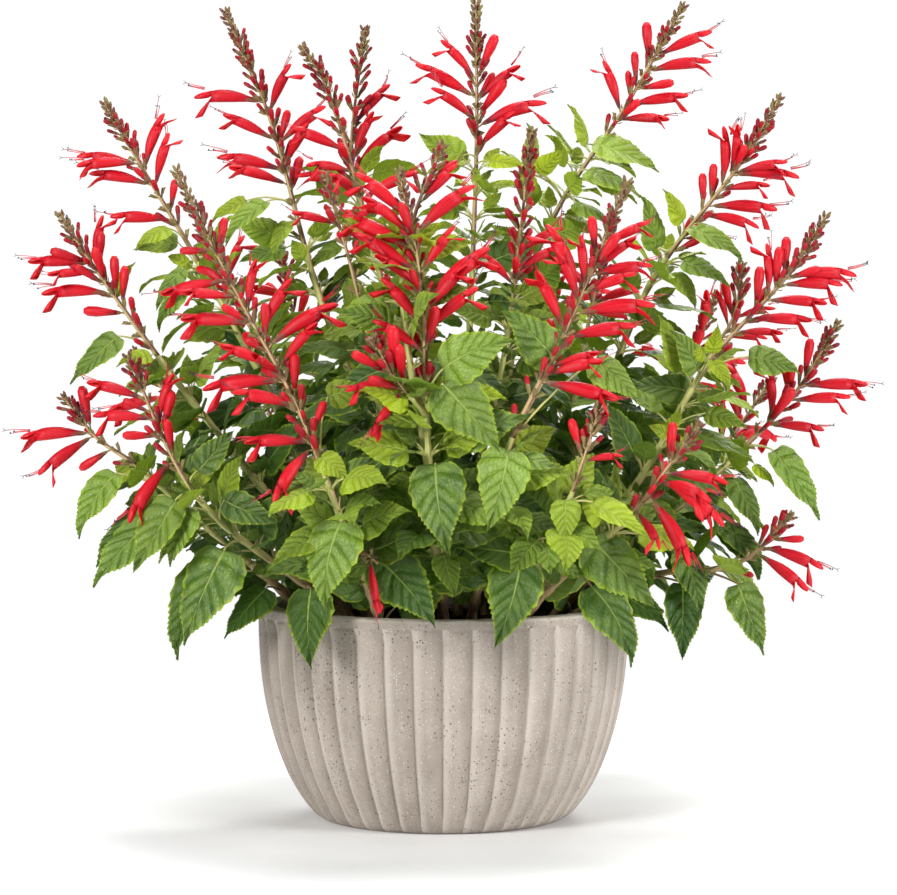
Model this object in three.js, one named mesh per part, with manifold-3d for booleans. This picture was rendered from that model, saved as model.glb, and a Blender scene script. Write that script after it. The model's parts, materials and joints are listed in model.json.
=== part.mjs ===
// Pineapple sage growing in a reeded bowl pot: square leafy stems that rise from the soil, lean
// outwards and end in spikes of red tube flowers. Millimetres, +Z up, with the origin under the
// middle of the pot, on the surface that it stands on. The front of the pot faces -Y.

import * as THREE from 'three';
import { mergeVertices } from 'three/addons/utils/BufferGeometryUtils.js';
import Module from 'manifold-3d';

const wasm = await Module();
wasm.setup();

// Gap left between two pieces that meet
const gap = 0.3;

// Pot: a thick-walled bowl with upright reeds under a plain rim band
const potRadius = 140;
const potHeight = 162;
const potFootRadius = 90;
const potWall = 15;
const potFloor = 14;
const rimBand = 6;
const rimEdge = 1.5;
const reedCount = 40;
const reedDepth = 2.4;
const reedFade = 20;
const reedTop = potHeight - 1.5 * rimBand;
const reedShoulder = reedTop - rimBand;

// Soil: fills the pot and is a little higher in the middle
const soilEdgeHeight = 146;
const soilMiddleHeight = 151;

// Stems: square in section, woody at the foot and thin at the neck under the flowers
const footRadius = 4.4;
const footHoleRadius = 5.8;
const footHoleLength = 40;
const sideShootRadius = 2.6;
const neckRadius = 1.8;
const stemSteps = 6;
const sideShootSteps = 4;

// Leaves: pairs on opposite sides of the stem, each pair a quarter turn from the last
const firstLeafPair = 60;
const leafPairSpacing = 50;
const lowLeafLength = 66;
const topLeafLength = 40;
const leafWidth = 0.56;
const leafThickness = 2;
const stalkLength = 15;

// Flowers: rings of buds along the spike, with open tubes in its lower part
const whorlSpacing = 28;
const spikeRadius = 1.4;
const budRadius = 3.6;
const flowerLength = 58;
const flowerShape = { widest: 0.45, width: 9, thickness: 8 };
const openPart = 0.7;
const flowerTurn = 2.4;

// Stems that rise from the soil. A route is the middle line from the foot to the tip of the
// spike, spike is the length of its flowering end, and each of the leaves that show best is its
// place along the route from 0 to 1, the base of its blade and its tip.
const stems = {
  a: {
    route: [
      [-25, 5, 130], [-35, 0, 220], [-60, -15, 310],
      [-95, -10, 400], [-130, 15, 525], [-165, 20, 610],
    ],
    spike: 190,
    leaves: [[0.61, [-135, -10, 465], [-165, -25, 435]]],
  },
  b: {
    route: [
      [-10, 25, 130], [-20, 25, 230], [-35, 15, 350],
      [-60, -10, 460], [-85, -15, 545], [-105, -20, 580],
    ],
    spike: 165,
    leaves: [],
  },
  c: {
    route: [[10, 0, 130], [15, 5, 250], [20, 10, 370], [25, 10, 500], [25, 10, 615]],
    spike: 200,
    leaves: [],
  },
  d: {
    route: [[30, 20, 130], [40, 30, 250], [60, 35, 390], [90, 40, 465], [139, 50, 538], [185, 60, 618]],
    spike: 200,
    leaves: [],
  },
  e: {
    route: [[50, 0, 130], [80, 5, 220], [125, 0, 330], [160, 0, 410], [225, 5, 495], [255, 10, 545]],
    spike: 150,
    leaves: [
      [0.64, [180, -15, 420], [215, -25, 405]],
      [0.62, [160, 15, 435], [155, 20, 470]],
    ],
  },
  f: {
    route: [
      [45, -30, 130], [80, -75, 185], [140, -120, 260],
      [194, -80, 345], [253, -55, 408], [285, -40, 455],
    ],
    spike: 150,
    leaves: [
      [0.6, [225, -65, 350], [265, -60, 340]],
      [0.5, [190, -110, 310], [220, -115, 300]],
    ],
  },
  g: {
    route: [
      [65, -10, 130], [110, -30, 185], [165, -50, 230],
      [210, -50, 270], [260, -40, 320], [295, -30, 375],
    ],
    spike: 125,
    leaves: [
      [0.6, [245, -50, 280], [280, -60, 230]],
      [0.55, [215, -60, 260], [235, -70, 220]],
      [0.36, [175, -65, 210], [190, -75, 165]],
    ],
  },
  h: {
    route: [
      [70, -35, 130], [105, -70, 165], [155, -80, 190],
      [200, -85, 195], [225, -90, 205], [255, -90, 235],
    ],
    spike: 65,
    leaves: [
      [0.65, [215, -100, 185], [235, -110, 135]],
      [0.48, [175, -95, 185], [175, -105, 130]],
      [0.28, [125, -95, 180], [165, -110, 155]],
    ],
  },
  i: {
    route: [
      [-50, 5, 130], [-80, 0, 210], [-130, -10, 320],
      [-181, -10, 415], [-230, -5, 497], [-255, 0, 540],
    ],
    spike: 140,
    leaves: [
      [0.6, [-195, -25, 415], [-215, -35, 385]],
      [0.66, [-200, 0, 435], [-235, 5, 430]],
    ],
  },
  j: {
    route: [
      [-60, -15, 130], [-95, -30, 200], [-145, -45, 265],
      [-200, -50, 335], [-254, -35, 408], [-285, -30, 455],
    ],
    spike: 130,
    leaves: [[0.66, [-240, -55, 365], [-275, -65, 330]]],
  },
  k: {
    route: [
      [-40, -60, 130], [-50, -130, 175], [-70, -225, 240],
      [-101, -220, 320], [-146, -185, 400], [-190, -150, 485],
    ],
    spike: 250,
    leaves: [
      [0.42, [-70, -232, 240], [-80, -245, 180]],
      [0.3, [-45, -190, 210], [-5, -210, 165]],
    ],
  },
  l: {
    route: [
      [-75, -5, 130], [-120, -40, 175], [-175, -65, 225],
      [-225, -75, 270], [-255, -65, 290], [-280, -60, 320],
    ],
    spike: 80,
    leaves: [
      [0.66, [-240, -80, 265], [-270, -90, 220]],
      [0.5, [-205, -90, 235], [-255, -110, 185]],
      [0.38, [-165, -85, 200], [-195, -100, 130]],
      [0.24, [-130, -75, 180], [-160, -95, 145]],
    ],
  },
  m: {
    route: [
      [-60, -40, 130], [-85, -80, 170], [-125, -125, 205],
      [-160, -150, 235], [-190, -150, 275], [-225, -130, 350],
    ],
    spike: 110,
    leaves: [
      [0.26, [-95, -135, 185], [-95, -155, 130]],
      [0.66, [-190, -160, 250], [-220, -175, 200]],
      [0.5, [-155, -165, 215], [-185, -180, 150]],
      [0.57, [-155, -165, 250], [-115, -170, 235]],
    ],
  },
  n: {
    route: [
      [0, -60, 130], [0, -95, 165], [-5, -170, 215],
      [-10, -230, 290], [-15, -210, 405], [-30, -190, 480],
    ],
    spike: 160,
    leaves: [
      [0.5, [-5, -237, 280], [5, -250, 220]],
      [0.36, [0, -190, 215], [10, -200, 185]],
      [0.62, [0, -240, 335], [40, -255, 290]],
      [0.63, [5, -228, 350], [50, -240, 365]],
    ],
  },
  o: {
    route: [
      [15, -40, 130], [25, -110, 180], [35, -190, 235],
      [45, -230, 290], [90, -205, 380], [130, -170, 475],
    ],
    spike: 205,
    leaves: [
      [0.5, [45, -242, 290], [30, -250, 235]],
      [0.3, [55, -185, 210], [35, -205, 150]],
    ],
  },
  p: {
    route: [[40, -60, 130], [65, -115, 170], [95, -160, 205], [134, -200, 245], [178, -190, 303]],
    spike: 85,
    leaves: [
      [0.55, [105, -192, 225], [150, -205, 180]],
      [0.45, [105, -175, 190], [135, -185, 135]],
    ],
  },
  q: {
    route: [[-40, 35, 130], [-75, 75, 230], [-125, 120, 320], [-165, 140, 390], [-195, 145, 450]],
    spike: 130,
    leaves: [],
  },
  r: {
    route: [[-25, 50, 130], [-50, 110, 210], [-90, 180, 300], [-120, 215, 370], [-135, 220, 440]],
    spike: 140,
    leaves: [],
  },
  s: {
    route: [[-5, 60, 130], [-20, 120, 215], [-35, 190, 300], [-38, 225, 380], [-30, 235, 455]],
    spike: 150,
    leaves: [],
  },
  t: {
    route: [[20, 60, 130], [45, 120, 210], [75, 195, 290], [90, 230, 360], [95, 245, 440]],
    spike: 110,
    leaves: [],
  },
  u: {
    route: [[35, 45, 130], [70, 90, 230], [100, 135, 310], [120, 160, 390], [135, 170, 450]],
    spike: 150,
    leaves: [],
  },
  v: {
    route: [[50, 35, 130], [100, 75, 210], [155, 125, 280], [195, 155, 340], [220, 170, 395]],
    spike: 130,
    leaves: [],
  },
  w: {
    route: [[65, 20, 130], [125, 45, 190], [195, 85, 250], [235, 105, 295], [262, 115, 335]],
    spike: 110,
    leaves: [],
  },
  x: {
    route: [[-60, 25, 130], [-115, 60, 195], [-170, 105, 255], [-215, 130, 310], [-245, 135, 350]],
    spike: 115,
    leaves: [],
  },
};

// Shoots that fork from a stem: the stem, the place along it, and the rest of the route
const sideShoots = {
  '01': { from: 'b', at: 0.63, route: [[-70, 45, 500], [-60, 60, 598]], spike: 120, leaves: [] },
  '02': {
    from: 'n', at: 0.5, route: [[-28, -190, 390], [-20, -185, 450], [0, -165, 500]],
    spike: 70, leaves: [],
  },
  '03': {
    from: 'c', at: 0.2, route: [[35, -45, 300], [50, -70, 385], [65, -60, 515]], spike: 130, leaves: [],
  },
  '04': {
    from: 'p', at: 0.2, route: [[65, -165, 200], [82, -220, 240], [95, -235, 277], [108, -230, 317]],
    spike: 60, leaves: [[0.6, [85, -235, 255], [85, -245, 225]]],
  },
  '05': { from: 'n', at: 0.6, route: [[-33, -245, 340], [-47, -245, 365]], spike: 45, leaves: [] },
  '06': {
    from: 'a', at: 0.17, route: [[-45, -60, 300], [-60, -108, 390], [-85, -95, 480]], spike: 95, leaves: [],
  },
  '07': {
    from: 'e', at: 0.25, route: [[150, 25, 300], [216, 25, 368], [228, 35, 420]],
    spike: 75, leaves: [],
  },
  '08': { from: 'k', at: 0.2, route: [[-45, -185, 205], [-52, -210, 215]], spike: 14, leaves: [] },
  '09': {
    from: 'r', at: 0.1, route: [[-80, 150, 195], [-115, 210, 225], [-135, 240, 260], [-150, 250, 320]],
    spike: 80, leaves: [],
  },
  10: {
    from: 't', at: 0.1, route: [[80, 150, 190], [140, 205, 215], [170, 230, 255], [190, 240, 310]],
    spike: 80, leaves: [],
  },
};

const concrete = { color: 0xb3aba0, roughness: 0.85, metalness: 0 };
const darkSoil = { color: 0x2c2119, roughness: 1, metalness: 0 };
const leafGreen = { color: 0x55832a, roughness: 0.55, metalness: 0 };
const petalRed = { color: 0xd8161f, roughness: 0.5, metalness: 0 };

const part = new THREE.Group();

// Adds one closed solid to the part as a named piece
function addPiece(name, solid, finish) {
  const { vertProperties, triVerts } = solid.getMesh();
  const geometry = new THREE.BufferGeometry();
  geometry.setAttribute('position', new THREE.BufferAttribute(vertProperties, 3));
  geometry.setIndex(new THREE.BufferAttribute(triVerts, 1));
  geometry.computeVertexNormals();
  const piece = new THREE.Mesh(geometry, new THREE.MeshStandardMaterial(finish));
  piece.name = name;
  part.add(piece);
}

// Point on a rod's own middle line, which runs straight from step to step, at a place from 0 to 1
function pointOnRod(curve, steps, t) {
  const step = Math.min(Math.floor(t * steps), steps - 1);
  return curve.getPointAt(step / steps).lerp(curve.getPointAt((step + 1) / steps), t * steps - step);
}

// Solid of a closed geometry, with the triangles that have shrunk to a line left out
function solidOf(geometry) {
  geometry.deleteAttribute('normal');
  geometry.deleteAttribute('uv');
  const merged = mergeVertices(geometry, 1e-4);
  const corners = merged.index.array;
  const triangles = [];
  for (let i = 0; i < corners.length; i += 3) {
    const [a, b, c] = corners.slice(i, i + 3);
    if (a !== b && b !== c && c !== a) triangles.push(a, b, c);
  }
  return new wasm.Manifold(new wasm.Mesh({
    numProp: 3,
    vertProperties: merged.attributes.position.array,
    triVerts: new Uint32Array(triangles),
  }));
}

// Outer radius of the pot's bowl at a height
function bowlRadius(height) {
  const rise = Math.min(height / (potHeight - rimBand), 1);
  return potFootRadius + (potRadius - potFootRadius) * (1 - (1 - rise) ** 2.2) ** 0.68;
}

// Depth of the grooves between the reeds, which fades out at the foot and under the rim band
function grooveDepth(height) {
  const fadeIn = THREE.MathUtils.smoothstep(height, 1, reedFade);
  const fadeOut = THREE.MathUtils.smoothstep(height, reedShoulder, reedTop);
  return reedDepth * fadeIn * (1 - fadeOut);
}

// Pot
function buildPot() {
  const outerHeights = [0, 6, 20, 50, 100, reedShoulder, reedTop];
  const innerHeights = [110, 50];
  const outline = [
    new THREE.Vector2(0, 0),
    ...outerHeights.map((height) => new THREE.Vector2(bowlRadius(height), height)),
    new THREE.Vector2(potRadius, potHeight - rimEdge),
    new THREE.Vector2(potRadius - rimEdge, potHeight),
    new THREE.Vector2(potRadius - potWall + rimEdge, potHeight),
    ...innerHeights.map((height) => new THREE.Vector2(bowlRadius(height) - potWall, height)),
    new THREE.Vector2(bowlRadius(potFloor) - potWall, potFloor),
    new THREE.Vector2(0, potFloor),
  ];
  const bowl = new THREE.LatheGeometry(outline, 2 * reedCount);
  const spots = bowl.attributes.position;
  for (let i = 0; i < spots.count; i += 1) {
    const radius = Math.hypot(spots.getX(i), spots.getZ(i));
    const height = spots.getY(i);
    const turn = Math.atan2(spots.getX(i), spots.getZ(i)) * reedCount / (2 * Math.PI);
    const inGroove = Math.abs(turn - Math.round(turn)) < 0.25;
    if (inGroove && radius > bowlRadius(height) - rimEdge) {
      const shrink = (radius - grooveDepth(height)) / radius;
      spots.setX(i, spots.getX(i) * shrink);
      spots.setZ(i, spots.getZ(i) * shrink);
    }
  }
  bowl.rotateX(Math.PI / 2);
  return solidOf(bowl);
}

// Soil, with room left for the foot of every stem
function buildSoil(feet) {
  const wallHeights = [potFloor + gap, 50, 110, soilEdgeHeight];
  const outline = [
    new THREE.Vector2(0, potFloor + gap),
    ...wallHeights.map((height) => new THREE.Vector2(bowlRadius(height) - potWall - 2 * gap, height)),
    new THREE.Vector2(potRadius * 0.6, (soilEdgeHeight + soilMiddleHeight) / 2),
    new THREE.Vector2(0, soilMiddleHeight),
  ];
  const body = new THREE.LatheGeometry(outline, reedCount);
  body.rotateX(Math.PI / 2);
  return solidOf(body).subtract(wasm.Manifold.union(feet));
}

// Part of a route, from one place along it to another
class Stretch extends THREE.Curve {
  constructor(route, from, to) {
    super();
    this.route = route;
    this.from = from;
    this.to = to;
  }

  getPoint(t, target = new THREE.Vector3()) {
    return target.copy(this.route.getPointAt(this.from + (this.to - this.from) * t));
  }
}

function routeThrough(points) {
  const corners = points.map((point) => new THREE.Vector3(...point));
  return new THREE.CatmullRomCurve3(corners, false, 'catmullrom');
}

// Square rod along a curve, with a radius to its corners that changes on the way
function rod(curve, steps, radiusAt) {
  const square = new THREE.Shape([[1, 0], [0, 1], [-1, 0], [0, -1]].map((xy) => new THREE.Vector2(...xy)));
  const geometry = new THREE.ExtrudeGeometry(square, { steps, extrudePath: curve, bevelEnabled: false });
  const middles = curve.getSpacedPoints(steps);
  const spots = geometry.attributes.position;
  const spot = new THREE.Vector3();
  for (let i = 0; i < spots.count; i += 1) {
    spot.fromBufferAttribute(spots, i);
    const distances = middles.map((middle) => middle.distanceTo(spot));
    const step = distances.indexOf(Math.min(...distances));
    spot.sub(middles[step]).multiplyScalar(radiusAt(step / steps)).add(middles[step]);
    spots.setXYZ(i, spot.x, spot.y, spot.z);
  }
  return solidOf(geometry);
}

// Eight-faced solid from a root to a tip, widest at a place between them from 0 to 1. Up is a
// direction out of its flat face. Margin makes it larger all round.
function spindle(root, tip, up, { widest, width, thickness }, margin) {
  const along = tip.clone().sub(root).normalize();
  const side = along.clone().cross(up).normalize();
  const face = side.clone().cross(along);
  const length = root.distanceTo(tip);
  const reach = new THREE.Matrix4().makeBasis(
    side.multiplyScalar(width / 2 + margin),
    along.multiplyScalar(length / 2 + margin),
    face.multiplyScalar(thickness / 2 + margin),
  );
  const geometry = new THREE.OctahedronGeometry(1);
  const spots = geometry.attributes.position;
  for (let i = 0; i < spots.count; i += 1) {
    if (Math.abs(spots.getY(i)) < 0.5) spots.setY(i, 2 * widest - 1);
  }
  geometry.applyMatrix4(reach);
  const middle = root.clone().lerp(tip, 0.5);
  geometry.translate(middle.x, middle.y, middle.z);
  return solidOf(geometry);
}

// A direction square to a route at a place along it, turned by an angle about the route
function sideways(route, at, angle) {
  const along = route.getTangentAt(at);
  const level = new THREE.Vector3(along.y, -along.x, 0);
  if (level.length() < 0.05) level.set(1, 0, 0);
  level.normalize();
  return level.applyAxisAngle(along, angle);
}

const down = new THREE.Vector3(0, 0, -1);

// Everything that has been placed, each with the piece that it belongs to
const placed = [];

function place(owner, solid) {
  placed.push({ owner, solid, box: solid.boundingBox() });
}

function boxesMeet(one, other) {
  return [0, 1, 2].every((axis) => one.min[axis] <= other.max[axis] && other.min[axis] <= one.max[axis]);
}

// True where a solid keeps clear of everything placed so far, apart from one owner's own pieces
function isClear(solid, owner) {
  const box = solid.boundingBox();
  return placed.every((other) => other.owner === owner
    || !boxesMeet(box, other.box)
    || other.solid.intersect(solid).isEmpty());
}

// Radius of a flowering end: thick at each ring of buds and thin between two rings
function budProfile(steps) {
  return (t) => {
    const step = Math.round(t * steps);
    if (step === 0 || step === steps) return spikeRadius * (step === 0 ? 1 : 0.6);
    return step % 2 === 1 ? budRadius * (1 - 0.25 * t) : spikeRadius;
  };
}

function budSteps(length) {
  return 2 * Math.max(1, Math.round(length / whorlSpacing));
}

// Hole in the soil for the foot of a stem: six-sided, straight and a little wider than the foot
function footHole(route, length) {
  const depth = footHoleLength / length;
  const hole = new THREE.CylinderGeometry(footHoleRadius, footHoleRadius, footHoleLength, 6);
  const direction = route.getPointAt(depth).sub(route.getPointAt(0)).normalize();
  hole.applyQuaternion(new THREE.Quaternion().setFromUnitVectors(new THREE.Vector3(0, 1, 0), direction));
  const middle = route.getPointAt(0).addScaledVector(direction, footHoleLength / 2 - 2 * gap);
  hole.translate(middle.x, middle.y, middle.z);
  return solidOf(hole);
}

// Rods of all stems and spikes, and the holes in the soil that the feet stand in
const shoots = [];
const feet = [];
for (const [key, { route: points, spike, leaves }] of Object.entries(stems)) {
  const route = routeThrough(points);
  const length = route.getLength();
  const spikeStart = 1 - spike / length;
  const steps = budSteps(spike);
  const stemCurve = new Stretch(route, 0, spikeStart - gap / length);
  const stemRadius = (t) => THREE.MathUtils.lerp(footRadius, neckRadius, Math.sqrt(t));
  const stemRod = rod(stemCurve, stemSteps, stemRadius);
  const spikeRod = rod(new Stretch(route, spikeStart, 1), steps, budProfile(steps));
  const stemName = `leafy_stem_${key}`;
  const spikeName = `flower_spike_${key}`;
  place(stemName, stemRod);
  place(spikeName, spikeRod);
  const stemPoint = (at) => pointOnRod(stemCurve, stemSteps, at / spikeStart);
  shoots.push({ key, route, length, spikeStart, leaves, stemName, spikeName, stemRod, spikeRod, stemPoint });
  feet.push(footHole(route, length));
}

// Side shoots, each cut off just clear of the stem that it forks from
for (const [key, { from, at, route: points, spike, leaves }] of Object.entries(sideShoots)) {
  const parent = shoots.find((shoot) => shoot.key === from);
  const start = parent.stemPoint(at);
  const route = routeThrough([start.toArray(), ...points]);
  const length = route.getLength();
  const spikeStart = 1 - spike / length;
  const steps = budSteps(spike);
  const parentEnd = parent.spikeStart;
  const wideParent = rod(
    new Stretch(parent.route, 0, parentEnd),
    stemSteps,
    (t) => THREE.MathUtils.lerp(footRadius, neckRadius, Math.sqrt(t)) + 2 * gap,
  );
  const lowCurve = new Stretch(route, 0, spikeStart);
  const lowRod = rod(lowCurve, sideShootSteps, (t) => THREE.MathUtils.lerp(sideShootRadius, spikeRadius, t));
  const topRod = rod(new Stretch(route, spikeStart, 1), steps, budProfile(steps));
  const name = `side_shoot_${key}`;
  const bodies = lowRod.add(topRod).subtract(wideParent).decompose();
  const whole = bodies.reduce((best, body) => (body.volume() > best.volume() ? body : best));
  place(name, whole);
  const stemPoint = (at) => pointOnRod(lowCurve, sideShootSteps, at / spikeStart);
  shoots.push({
    key, route, length, spikeStart, leaves, stemName: name, spikeName: name, stemRod: whole, stemPoint,
  });
}

// Level direction from the middle of the pot out to a point
function outwardAt(point) {
  return new THREE.Vector3(point.x, point.y, 0).normalize();
}

// Flowers along each spike, turned a little further round at every ring, where there is room.
// They face away from the middle of the plant.
function addFlowers(shoot) {
  const rings = budSteps((1 - shoot.spikeStart) * shoot.length) / 2;
  const flowers = [];
  for (let ring = 0; ring < rings * openPart; ring += 1) {
    const at = shoot.spikeStart + (1 - shoot.spikeStart) * (2 * ring + 1) / (2 * rings);
    for (const turn of [0, Math.PI]) {
      const root = shoot.route.getPointAt(at);
      const out = sideways(shoot.route, at, ring * flowerTurn + turn);
      out.addScaledVector(shoot.route.getTangentAt(at), 0.2);
      out.addScaledVector(outwardAt(root), 1.5).normalize();
      const tip = root.clone().addScaledVector(out, flowerLength * (1 - 0.35 * ring / rings));
      if (isClear(spindle(root, tip, shoot.route.getTangentAt(at), flowerShape, gap), shoot.spikeName)) {
        const tube = spindle(root, tip, shoot.route.getTangentAt(at), flowerShape, 0);
        flowers.push(tube);
        place(shoot.spikeName, tube);
        break;
      }
    }
  }
  return flowers;
}

// One leaf with its stalk, if it is clear of everything but the stem that it grows from
function addLeaf(shoot, at, base, tip) {
  const root = shoot.stemPoint(at);
  const up = outwardAt(tip.clone().sub(root)).add(new THREE.Vector3(0, 0, 1));
  const blade = base.distanceTo(tip);
  const shape = {
    widest: 1 - 0.65 * blade / root.distanceTo(tip),
    width: leafWidth * blade,
    thickness: leafThickness,
  };
  if (!isClear(spindle(root, tip, up, shape, gap), shoot.stemName)) return [];
  const leaf = spindle(root, tip, up, shape, 0);
  place(shoot.stemName, leaf);
  return [leaf];
}

// Pairs of leaves up a stem. A leaf that would touch something is turned, or else left off.
function addLeafPairs(shoot) {
  const leaves = [];
  const last = shoot.spikeStart * shoot.length - leafPairSpacing / 4;
  let pair = 0;
  for (let distance = firstLeafPair; distance < last; distance += leafPairSpacing) {
    const at = distance / shoot.length;
    const size = THREE.MathUtils.lerp(lowLeafLength, topLeafLength, distance / last);
    for (const turn of [0, Math.PI]) {
      const tries = [0, 0.5, -0.5, 0.9].map((change) => turn + pair * Math.PI / 2 + change);
      for (const angle of tries) {
        const out = sideways(shoot.route, at, angle);
        const along = shoot.route.getTangentAt(at);
        const base = shoot.route.getPointAt(at).addScaledVector(out, stalkLength).addScaledVector(along, 6);
        const reach = out.clone().addScaledVector(along, 0.1).addScaledVector(down, 0.55);
        const leaf = addLeaf(shoot, at, base, reach.setLength(size).add(base));
        leaves.push(...leaf);
        if (leaf.length > 0) break;
      }
    }
    pair += 1;
  }
  return leaves;
}

const pot = buildPot();
const soil = buildSoil(feet);
place('pot', pot);
place('soil', soil);

for (const shoot of shoots) {
  shoot.flowers = addFlowers(shoot);
}
for (const shoot of shoots) {
  shoot.blades = shoot.leaves.flatMap(([at, base, tip]) => (
    addLeaf(shoot, at, new THREE.Vector3(...base), new THREE.Vector3(...tip))));
}
for (const shoot of shoots) {
  shoot.blades.push(...addLeafPairs(shoot));
}

addPiece('pot', pot, concrete);
addPiece('soil', soil, darkSoil);
for (const shoot of shoots) {
  if (shoot.spikeRod) {
    addPiece(shoot.stemName, wasm.Manifold.union([shoot.stemRod, ...shoot.blades]), leafGreen);
    addPiece(shoot.spikeName, wasm.Manifold.union([shoot.spikeRod, ...shoot.flowers]), petalRed);
  } else {
    const all = [shoot.stemRod, ...shoot.blades, ...shoot.flowers];
    addPiece(shoot.stemName, wasm.Manifold.union(all), leafGreen);
  }
}

export default part;
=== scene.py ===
# Potted pineapple sage: square leafy stems with toothed leaves and spikes of red tube flowers, growing
# in a reeded concrete bowl. Metres, +Z up, and the front of the pot faces -Y.

import json
import math

import bpy
import numpy as np
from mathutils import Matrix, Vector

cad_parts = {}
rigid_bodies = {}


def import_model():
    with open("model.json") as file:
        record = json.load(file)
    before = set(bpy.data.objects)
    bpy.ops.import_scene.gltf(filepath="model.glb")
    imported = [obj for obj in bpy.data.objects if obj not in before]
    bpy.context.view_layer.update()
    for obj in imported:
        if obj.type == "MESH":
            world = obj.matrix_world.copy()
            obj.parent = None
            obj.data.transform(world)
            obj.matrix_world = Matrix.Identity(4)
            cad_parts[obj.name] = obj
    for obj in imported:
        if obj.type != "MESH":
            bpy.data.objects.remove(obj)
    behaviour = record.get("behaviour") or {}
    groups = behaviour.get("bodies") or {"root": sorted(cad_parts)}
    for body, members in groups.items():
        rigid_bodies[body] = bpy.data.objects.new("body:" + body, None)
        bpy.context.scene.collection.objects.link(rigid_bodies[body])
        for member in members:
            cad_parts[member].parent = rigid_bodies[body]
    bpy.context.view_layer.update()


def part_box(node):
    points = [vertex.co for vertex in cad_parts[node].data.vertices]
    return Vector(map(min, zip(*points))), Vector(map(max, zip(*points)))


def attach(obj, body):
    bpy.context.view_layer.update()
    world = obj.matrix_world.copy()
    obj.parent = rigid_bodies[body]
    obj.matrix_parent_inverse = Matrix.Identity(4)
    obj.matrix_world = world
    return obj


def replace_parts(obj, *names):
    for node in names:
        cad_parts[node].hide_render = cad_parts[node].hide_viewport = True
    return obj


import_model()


# Camera, light and floor
# A plain white studio: a white surround, a large soft lamp on each side in front, one overhead and
# one behind that shines through the leaves. The floor is one pale matt sheet. Away from the pot it
# glows white, so that it melts into the surround.
PHOTO_WIDTH = 897
FOCAL_PIXELS = 3462
SENSOR_WIDTH = 36
CAMERA_PLACE = (0.004, -2.613, 0.404)
CAMERA_DIP = 2.72
LAMP_TARGET = (0.0, 0.0, 0.34)
SURROUND_LIGHT = 0.11
SURROUND_SEEN = 0.95
FLOOR_HALF = 2.2
FLOOR_SHADE_REACH = 0.25
FLOOR_WHITE_REACH = 0.80


def link_object(name, data):
    """A new object in the scene."""
    made = bpy.data.objects.new(name, data)
    bpy.context.scene.collection.objects.link(made)
    return made


camera = link_object("camera", bpy.data.cameras.new("camera"))
camera.data.sensor_width = SENSOR_WIDTH
camera.data.lens = SENSOR_WIDTH * FOCAL_PIXELS / PHOTO_WIDTH
camera.location = CAMERA_PLACE
camera.rotation_euler = (math.radians(90 - CAMERA_DIP), 0, 0)
bpy.context.scene.camera = camera
bpy.context.scene.view_settings.view_transform = "Standard"


def lamp(name, place, size, power):
    """A square soft lamp that faces the plant."""
    made = link_object(name, bpy.data.lights.new(name, "AREA"))
    made.data.size = size
    made.data.energy = power
    made.location = place
    away = made.location - type(made.location)(LAMP_TARGET)
    made.rotation_euler = away.to_track_quat("Z", "Y").to_euler()


lamp("lamp_front_left", (-2.1, -2.4, 1.3), 1.1, 106)
lamp("lamp_front_right", (2.5, -1.6, 0.9), 1.1, 76)
lamp("lamp_overhead", (0.2, 0.1, 2.7), 1.4, 60)
lamp("lamp_behind", (0.6, 2.4, 2.0), 1.6, 72)


def colour(red, green, blue):
    """The linear colour that a shader takes, from a screen colour of 0 to 255."""
    shares = [part / 255 for part in (red, green, blue)]
    return (*[x / 12.92 if x <= 0.04045 else ((x + 0.055) / 1.055) ** 2.4 for x in shares], 1.0)


def add_node(tree, kind, inputs, **settings):
    """A new shader node. Each of its inputs, by name or number, is a socket to read or a plain value."""
    made = tree.nodes.new("ShaderNode" + kind)
    for name, value in settings.items():
        setattr(made, name, value)
    for name, value in inputs.items():
        if isinstance(value, bpy.types.NodeSocket):
            tree.links.new(value, made.inputs[name])
        else:
            made.inputs[name].default_value = value
    return made


def calc(tree, operation, *values):
    """The result of a sum on sockets and plain numbers."""
    return add_node(tree, "Math", dict(enumerate(values)), operation=operation).outputs[0]


def blend(tree, share, one, other):
    """A colour that goes from one to the other as the share goes from 0 to 1."""
    return add_node(tree, "Mix", {0: share, 6: one, 7: other}, data_type="RGBA").outputs[2]


def fade(tree, value, low, high, to_low=0.0, to_high=1.0):
    """A value that goes smoothly from one number to another, and stays between them."""
    inputs = {"Value": value, "From Min": low, "From Max": high, "To Min": to_low, "To Max": to_high}
    return add_node(tree, "MapRange", inputs, interpolation_type="SMOOTHSTEP").outputs["Result"]


def clouds(tree, vector, scale, detail=3.0, roughness=0.55):
    """Soft uneven patches, from 0 to 1."""
    inputs = {"Vector": vector, "Scale": scale, "Detail": detail, "Roughness": roughness}
    return add_node(tree, "TexNoise", inputs).outputs[0]


def finish(name, **values):
    """A new material with its node tree and its shader. The values hold for the whole surface."""
    material = bpy.data.materials.new(name)
    material.use_nodes = True
    shader = material.node_tree.nodes["Principled BSDF"]
    for socket, value in values.items():
        shader.inputs[socket.replace("_", " ")].default_value = value
    return material, material.node_tree, shader


def cover(tree, shader, **sockets):
    """Gives a shader what changes over the surface: its colour, its roughness and its normal."""
    for socket, value in sockets.items():
        tree.links.new(value, shader.inputs[socket.replace("_", " ")])


world = bpy.data.worlds.new("white_studio")
world.use_nodes = True
bpy.context.scene.world = world
surround = world.node_tree.nodes["Background"]
seen = add_node(world.node_tree, "LightPath", {}).outputs["Is Camera Ray"]
surround.inputs["Color"].default_value = (1, 1, 1, 1)
strength = calc(world.node_tree, "MULTIPLY_ADD", seen, SURROUND_SEEN, SURROUND_LIGHT)
world.node_tree.links.new(strength, surround.inputs["Strength"])

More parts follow.
